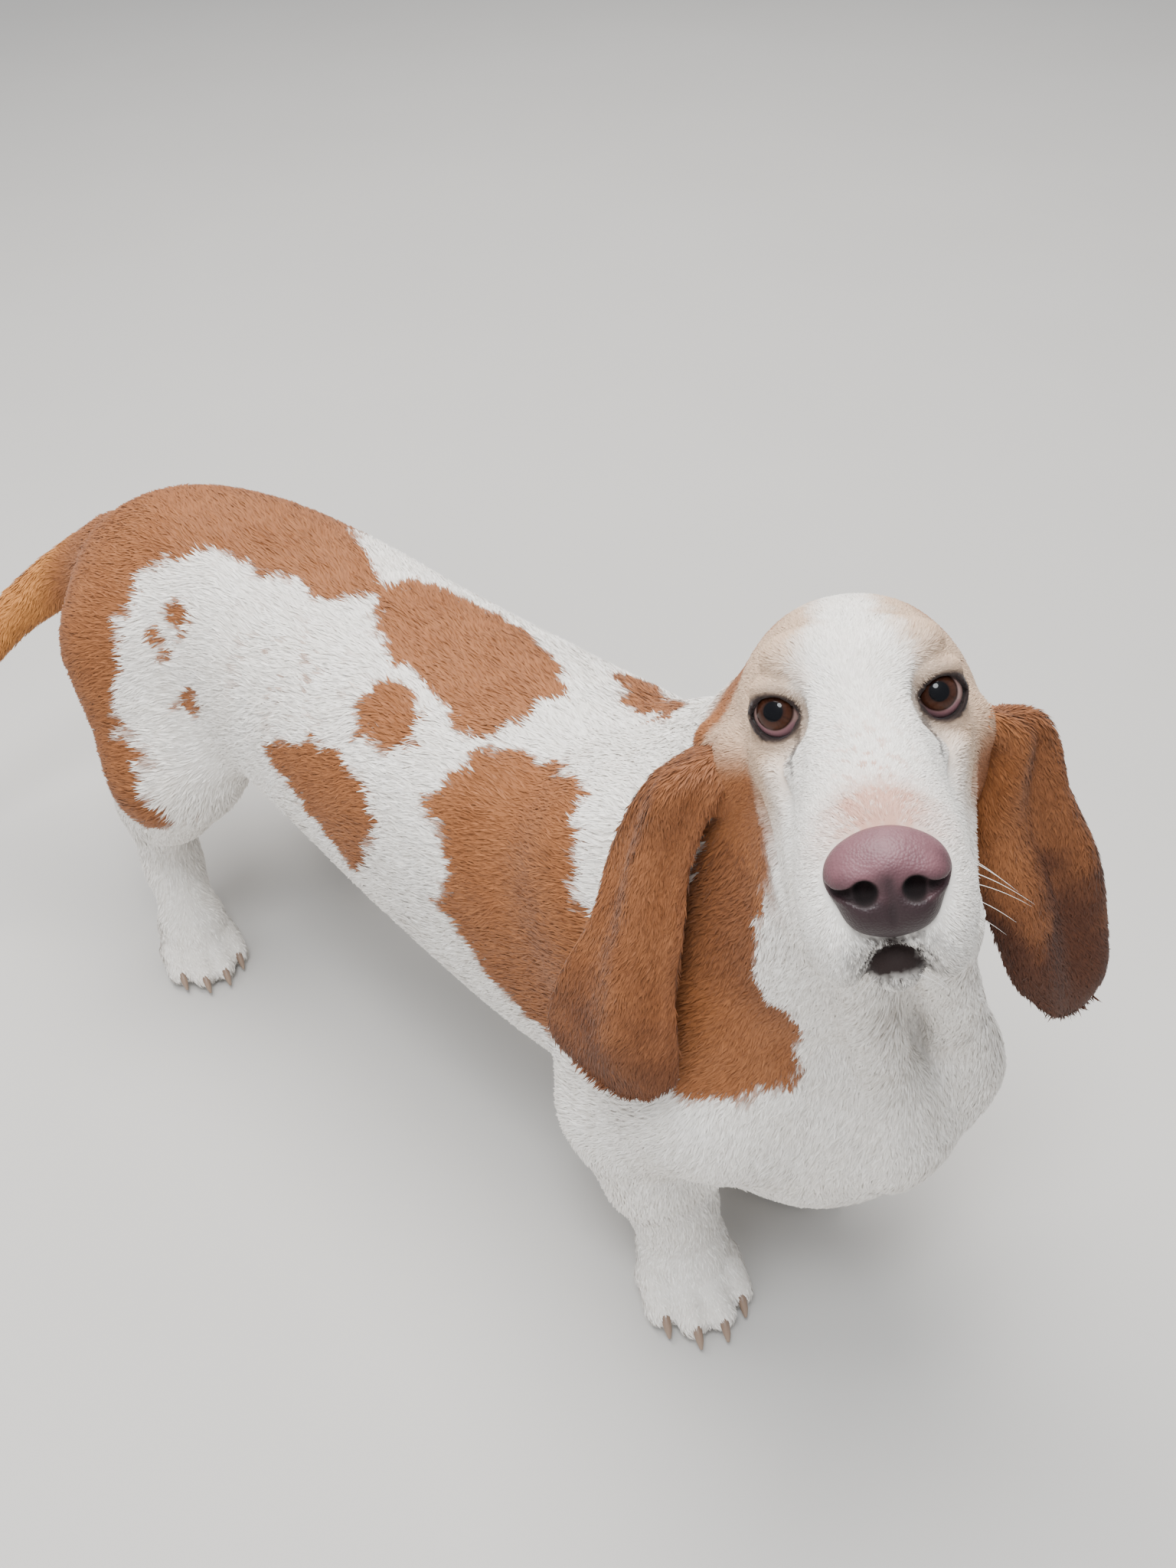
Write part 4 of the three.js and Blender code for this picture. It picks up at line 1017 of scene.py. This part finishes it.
points, faces, ages = [], [], []
share, turn = np.linspace(0, 1, CLAW_RINGS), round_turn(CLAW_SIDES)
for x, y, swing, size in PAWS.values():
    axes = paw_axes(swing)
    for side, front, toe in TOES:
        root = front - TOE_REACH * toe
        path = [(side * PAW_WIDTH * TOE_SPLAY, root + back, up) for back, up in CLAW_PATH]
        path = smooth_run(np.array(path) * size, share)
        radii = np.interp(share * 3, range(4), CLAW_RADII) * size
        along = unit(np.gradient(path, axis=0))
        aside = unit(np.cross(along, (0, 0, 1)))
        over = np.cross(aside, along)
        rings = col(path) + col(col(radii)) * (
            CLAW_FLATNESS * col(np.cos(turn)) * col(aside) + col(np.sin(turn)) * col(over))
        tip = path[-1:] + along[-1:] * CLAW_TIP
        faces.append(closed_faces(CLAW_RINGS, CLAW_SIDES) + sum(map(len, points)))
        points.append(np.vstack([rings.reshape(-1, 3), path[:1], tip]) @ axes + (x, y, 0))
        ages.append(np.append(np.repeat(share, CLAW_SIDES), (0, 1)))
points, faces = np.vstack(points), np.vstack(faces)
claws = solid_mesh("claws", points, faces, {"worn": np.concatenate(ages)})
material, tree, shader = blank_material("horn")
horn = blended(tree, grain(tree, 300), (0.20, 0.125, 0.085), (0.12, 0.070, 0.050))
horn = blended(tree, sums(tree, "MULTIPLY", mark_of(tree, "worn"), 0.6), horn, (0.42, 0.31, 0.23))
ridges = bumps(tree, grain(tree, 500), 0.3, 0.0003)
dress(tree, shader, {"Base Color": horn, "Normal": ridges, "Roughness": 0.42})
claws.data.materials.append(material)
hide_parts(*[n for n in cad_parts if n.startswith("claw")])
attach(claws, "root")


# ---------------------------------------------------------------------------
# Coat
# Short flat hair in fine locks that lie along the body and break its outline.
# Each lock is a thin blade rooted on the skin, and takes its colour there.
# ---------------------------------------------------------------------------
LEG_TOP, LEG_REACH, SOLE_EDGE = 165, 14, 1.2
corners = [hide_points[hide_faces[:, k]] for k in range(4)]
facing = np.cross(corners[2] - corners[0], corners[3] - corners[1])
face_areas = np.linalg.norm(facing, axis=1) / 2
hide_normals = unit(np.array([
    np.bincount(hide_faces.ravel(), np.repeat(way, 4), len(hide_points)) for way in facing.T]).T)
middles = hide_points[hide_faces].mean(1)
on_ear = ear_shares[hide_faces[:, 0], 0] >= 0
head = head_share(middles)
leg_gaps = [chain(middles, points, blend) for points, blend in LIMBS.values()]
paw_gaps = [paw_field(middles, name) for name in PAWS]
above_sole = middles[:, 2] > SOLE_EDGE
on_leg = (middles[:, 2] < LEG_TOP) & (np.min(leg_gaps + paw_gaps, axis=0) < LEG_REACH) & above_sole
on_body = (head < 0.5) & ~on_leg & ~on_ear & above_sole
# no hair on the nose leather, the lips' dark edge, the rims of the lids or the eyeballs
q = to_head(middles)
bare = (nose_field(q) < 0.9) | ((lip_edge(q) > 0.75) & (q[:, 1] < -84))
for side in (-1, 1):
    e = at_eye(q, side)
    oval = np.hypot(e[:, 0] / (LIDS_WIDE + 3.2), e[:, 1] / (lid_height(e) + 2.2))
    bare |= (oval < 1) & (e[:, 2] > 0)
    bare |= np.linalg.norm(e, axis=1) < EYE_RADIUS + 0.4
on_head = (head >= 0.5) & ~on_ear & ~bare


def lie_of(p, ears):
    """The way the hair lies: back along the trunk, down the legs, and over the head."""
    x, y, z = p.T
    nearest = np.argmin([np.hypot(x - a, y - b) for a, b, _, _ in PAWS.values()], axis=0)
    fronts = np.array([-paw_axes(turn)[1] for _, _, turn, _ in PAWS.values()])
    q = to_head(p)
    side = np.sign(q[:, 0]) * ease(np.abs(q[:, 0]), 0, 14)
    crown, cheek = ease(q[:, 2], 0, 40), ease(-q[:, 2], 30, 70)
    face = np.stack([0.3 * side, 1 - 0.35 * cheek, -0.35 + 0.65 * crown - 0.5 * cheek], 1)
    way = np.array((0, 1, -0.45))
    for share, there in (
            (ease(-y, 200, 290), np.array((0, 0.25, -1))),
            (ease(-z, -190, -130), np.array((0, 0.12, -1))),
            (ease(-z, -44, -26), fronts[nearest] + (0, 0, -0.6)),
            (ease(y, 388, 410), np.array((-0.5, 0.3, -0.8))),
            (head_share(p), face @ HEAD_AXES)):
        way = (1 - col(share)) * way + col(share) * there
    down = np.array([(-0.35, -0.05, -1), (0.3, -0.3, -1)])[np.maximum(ears[:, 3], 0).astype(int)]
    return np.where(ears[:, :1] >= 0, down, way)


def wrapped(p, centre):
    """A flat map of the skin: round the back's axis, and from its front to its rear."""
    d = p - centre
    across = np.arctan2(d[:, 0], d[:, 2]) / (2 * np.pi) + 0.5
    down = np.arccos(np.clip(d[:, 1] / np.linalg.norm(d, axis=1), -1, 1)) / np.pi
    down = (down - down.min()) / (down.max() - down.min())
    return 0.01 + 0.98 * np.stack([across, down], 1)


hair_material = coat_material("locks of short hair", 0.62, 500, 0.0002)


LOCKS = 62000
# half the side of a lock's own patch on the coat's flat map
PATCH = 0.0015
LOWEST_HAIR = 0.15


def lay_coat(name, chosen, length, width, lift, seed, flat_map):
    """Locks over the chosen faces. Sizes are in millimetres; a lock has three triangles."""
    rng = np.random.default_rng(seed)
    weights = face_areas * chosen
    count = LOCKS
    picked = rng.choice(len(hide_faces), count, p=weights / weights.sum())
    corners = hide_faces[picked]
    u, v = rng.random(count), rng.random(count)
    shares = np.stack([(1 - u) * (1 - v), u * (1 - v), u * v, (1 - u) * v], 1)[:, :, None]
    root = (hide_points[corners] * shares).sum(1)
    out = unit((hide_normals[corners] * shares).sum(1))
    ears = (ear_shares[corners] * shares).sum(1)
    way = lie_of(root, ears)
    way = unit(way - out * col((way * out).sum(1)))
    aside = np.cross(out, way)
    sway = 0.2 * ripple(root, 60) + 0.12 * ripple(root, 18) + rng.normal(0, 0.13, count)
    c, s = col(np.cos(sway)), col(np.sin(sway))
    way, aside = way * c + aside * s, aside * c - way * s
    long = (length(root) if callable(length) else length) * rng.uniform(0.7, 1.25, count)
    wide = width * rng.uniform(0.7, 1.3, count) * np.sqrt(long / long.mean()) / 2
    rise = lift * rng.uniform(0.5, 1.35, count) * np.minimum(long / long.mean(), 1.3)
    curl = rng.normal(0, 0.10, count) * long
    tilt = rng.normal(0, 0.22, count) * wide
    # a lock is rooted just under the skin, widest half way along, and ends in a point
    base, half = root - out * 0.3, root + way * col(long * 0.5) + out * col(rise * 0.62)
    points = np.stack([
        base - aside * col(wide * 0.7), base + aside * col(wide * 0.7),
        half - aside * col(wide) + aside * col(curl * 0.25) - out * col(tilt),
        half + aside * col(wide) + aside * col(curl * 0.25) + out * col(tilt),
        root + way * col(long) + aside * col(curl) + out * col(rise),
    ], 1).reshape(-1, 3)
    points[:, 2] = np.maximum(points[:, 2], LOWEST_HAIR)
    faces = np.array([(0, 1, 3), (0, 3, 2), (2, 3, 4)])
    faces = (np.arange(count)[:, None, None] * 5 + faces).reshape(-1, 3)
    marks = markings(root, ears)
    marks["tone"] = np.clip(rng.normal(0.62, 0.2, count), 0, 1)
    marks = {mark: np.repeat(value, 5) for mark, value in marks.items()}
    coat = solid_mesh(name, points, faces, marks)
    spot = flat_map(root, ears)
    patch = np.array([(-1, -1), (1, -1), (-1, 0), (1, 0), (0, 1)]) * PATCH
    spots = (spot[:, None] + patch).reshape(-1, 2)
    layer = coat.data.uv_layers.new(name="OFBake")
    layer.uv.foreach_set("vector", spots[faces.ravel()].astype(np.float32).ravel())
    coat.data.materials.append(hair_material)
    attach(coat, "root")


def face_length(p):
    """Shortest on the muzzle and round the eyes, longer on the cheeks and throat."""
    q = to_head(p)
    eye = np.linalg.norm(np.abs(q) * (1, 0, 0) + q * (0, 1, 1) - (EYE_SPREAD, EYE_BACK, 0), axis=1)
    mouth = np.linalg.norm(q - (0, -112, -74), axis=1)
    long = 3.2 + 2.4 * ease(q[:, 1], -60, 60) + 1.0 * ease(-q[:, 2], 60, 100)
    return long * (0.35 + 0.65 * ease(eye, 14, 27)) * (0.55 + 0.45 * ease(mouth, 8, 24))


def leg_length(p):
    return 4.5 + 3.5 * ease(p[:, 2], 30, 130)


def in_strip(strip, across, up):
    """Places in one of four upright strips of the flat map."""
    return np.stack([0.01 + 0.235 * across + 0.245 * strip, 0.01 + 0.98 * np.clip(up, 0, 1)], 1)


def leg_map(p, ears):
    """Each leg takes a quarter of the map: round the leg, and up it."""
    x, y, z = p.T
    leg = np.argmin([chain(p, points, blend) for points, blend in LIMBS.values()], axis=0)
    middle = np.array([(-52, -200), (64, -168), (-118, 285), (46, 290)])[leg]
    across = np.arctan2(x - middle[:, 0], y - middle[:, 1]) / (2 * np.pi) + 0.5
    return in_strip(leg, across, z / (LEG_TOP + 1))


def ear_map(p, ears):
    """The two faces of each ear side by side."""
    strip = np.clip(np.round(ears[:, 3]) * 2 + np.round(ears[:, 2]), 0, 3)
    return in_strip(strip, np.clip(ears[:, 0], 0, 1), ears[:, 1])


def map_about(*centre):
    return lambda p, ears: wrapped(p, np.array(centre, float))


def trunk(ahead, behind):
    return on_body & (middles[:, 1] > ahead) & (middles[:, 1] <= behind)


FAR = 1000
face_map = map_about(*from_head(0, 20, -30))
# name, faces, length, width and lift of a lock, and the flat map
COATS = [
    ("coat_rump", trunk(150, FAR), 9, 1.05, 1.25, map_about(-40, 250, 250)),
    ("coat_ribs", trunk(-80, 150), 9, 1.05, 1.25, map_about(0, 30, 240)),
    ("coat_shoulders", trunk(-250, -80), 9, 1.0, 1.2, map_about(8, -170, 240)),
    ("coat_chest", trunk(-FAR, -250), 8, 0.9, 1.0, map_about(8, -250, 240)),
    ("coat_legs", on_leg, leg_length, 0.9, 1.0, leg_map),
    ("coat_face_right", on_head & (q[:, 0] < 0), face_length, 0.55, 0.6, face_map),
    ("coat_face_left", on_head & (q[:, 0] >= 0), face_length, 0.55, 0.6, face_map),
    ("coat_ears", on_ear, 6.5, 0.8, 0.8, ear_map),
]
for seed, (name, chosen, length, width, lift, flat_map) in enumerate(COATS, 1):
    lay_coat(name, chosen, length, width, lift, seed, flat_map)


# ---------------------------------------------------------------------------
# Whiskers
# A few stiff white hairs that stand out of the lips and chin, thick at the root
# and drawn out to nothing.
# ---------------------------------------------------------------------------
# root on the left, back and up in head axes, and length; the right has the same
WHISKER_ROOTS = [
    (30, -88, -46, 22), (31, -82, -53, 27), (32, -76, -60, 25), (31, -70, -50, 20),
    (29, -92, -60, 20), (28, -84, -68, 18), (8, -108, -84, 12), (12, -102, -86, 10),
]
WHISKER_RINGS, WHISKER_SIDES = 9, 3
whisker_rng = np.random.default_rng(21)
points, faces = [], []
share = np.linspace(0, 1, WHISKER_RINGS)
tip = WHISKER_SIDES * (WHISKER_RINGS - 1)
whisker_faces = np.vstack([
    tube_faces(WHISKER_RINGS, WHISKER_SIDES), [(0, 2, 1), (tip, tip + 1, tip + 2)]])
for left, back, up, length in WHISKER_ROOTS:
    for side in (-1, 1):
        way = np.array([side * 0.85, -0.25, -0.45]) + whisker_rng.normal(0, 0.12, 3)
        way /= np.linalg.norm(way)
        droop = np.array([0, 0, -1.0])
        path = (np.array([side * left, back, up]) + np.outer(share * length, way)
                + np.outer(share**2 * length * 0.22, droop)) @ HEAD_AXES + HEAD_AT
        aside = np.cross(path[-1] - path[0], (0, 0, 1))
        aside /= np.linalg.norm(aside)
        over = np.cross(aside, path[-1] - path[0])
        over /= np.linalg.norm(over)
        thick = col(0.17 * (1 - share) + 0.03)
        rings = [path + thick * (math.cos(a) * aside + math.sin(a) * over)
                 for a in (0, 2.094, 4.189)]
        faces.append(whisker_faces + sum(map(len, points)))
        points.append(np.stack(rings, 1).reshape(-1, 3))
whiskers = solid_mesh("whiskers", np.vstack(points), np.vstack(faces))
material, tree, shader = blank_material("whisker")
pale = blended(tree, grain(tree, 200), (0.85, 0.83, 0.80), (0.70, 0.66, 0.60))
dress(tree, shader, {"Base Color": pale, "Roughness": 0.4})
whiskers.data.materials.append(material)
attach(whiskers, "root")


# ---------------------------------------------------------------------------
# Studio
# A pale floor under four soft lights: overhead, a fill, a window that shows in
# the eyes, and one from behind. The camera looks down from in front of the
# hound, on its right.
# ---------------------------------------------------------------------------
FLOOR_REACH = 30000
floor_points = np.array([(-1, -1, 0), (1, -1, 0), (1, 1, 0), (-1, 1, 0)]) * FLOOR_REACH
floor = solid_mesh("floor", floor_points - SHIFT * 1000, np.array([(0, 1, 2, 3)]))
material, tree, shader = blank_material("pale floor")
shade = blended(tree, grain(tree, 3), (0.52, 0.50, 0.475), (0.56, 0.54, 0.515))
dress(tree, shader, {"Base Color": shade, "Roughness": 0.9})
floor.data.materials.append(material)


def soft_light(name, place, aim, size, power, colour, in_eyes=True):
    """A round lamp; in_eyes says whether wet surfaces mirror it."""
    light = bpy.data.lights.new(name, "AREA")
    light.shape, light.size, light.energy, light.color = "DISK", size, power, colour
    lamp = bpy.data.objects.new(name, light)
    lamp.location = place
    lamp.visible_glossy = in_eyes
    lamp.rotation_euler = (Vector(aim) - Vector(place)).to_track_quat("-Z", "Y").to_euler()
    bpy.context.scene.collection.objects.link(lamp)


soft_light("overhead", (0.1, 0.35, 2.7), (0, 0, 0.25), 2.0, 112, (1.0, 0.985, 0.96))
soft_light("fill", (-2.6, -1.2, 1.3), (0, -0.1, 0.25), 2.6, 36, (0.96, 0.98, 1.0), False)
soft_light("window", (-0.72, -0.86, 2.35), (0, -0.3, 0.4), 0.75, 40, (0.93, 0.97, 1.0))
soft_light("rim", (1.8, 1.6, 1.8), (0, 0, 0.3), 1.4, 14, (1.0, 0.97, 0.93))
world = bpy.data.worlds.new("studio")
world.use_nodes = True
sky = world.node_tree.nodes["Background"]
dress(world.node_tree, sky, {"Color": (0.86, 0.90, 0.95), "Strength": 0.70})
bpy.context.scene.world = world

# the camera's place in metres, its turn and downward tilt, its roll, and its lens
CAMERA_AT = (-0.4794, -0.6787, 0.9233)
YAW, PITCH, ROLL = (math.radians(a) for a in (38.51, 39.06, -2.6))
LENS, SENSOR = 38.67, 36
flat = math.cos(PITCH)
look = np.array([math.sin(YAW) * flat, math.cos(YAW) * flat, -math.sin(PITCH)])
level = np.cross(look, (0, 0, 1))
level /= np.linalg.norm(level)
above = np.cross(level, look)
right = math.cos(ROLL) * level + math.sin(ROLL) * above
above = math.cos(ROLL) * above - math.sin(ROLL) * level
lens = bpy.data.cameras.new("camera")
lens.lens, lens.sensor_width, lens.sensor_fit = LENS, SENSOR, "AUTO"
lens.clip_start, lens.clip_end = 0.02, 50
camera = bpy.data.objects.new("camera", lens)
rows = np.column_stack([right, above, -look, np.array(CAMERA_AT) + SHIFT])
camera.matrix_world = Matrix([*map(tuple, rows), (0, 0, 0, 1)])
bpy.context.scene.collection.objects.link(camera)
bpy.context.scene.camera = camera
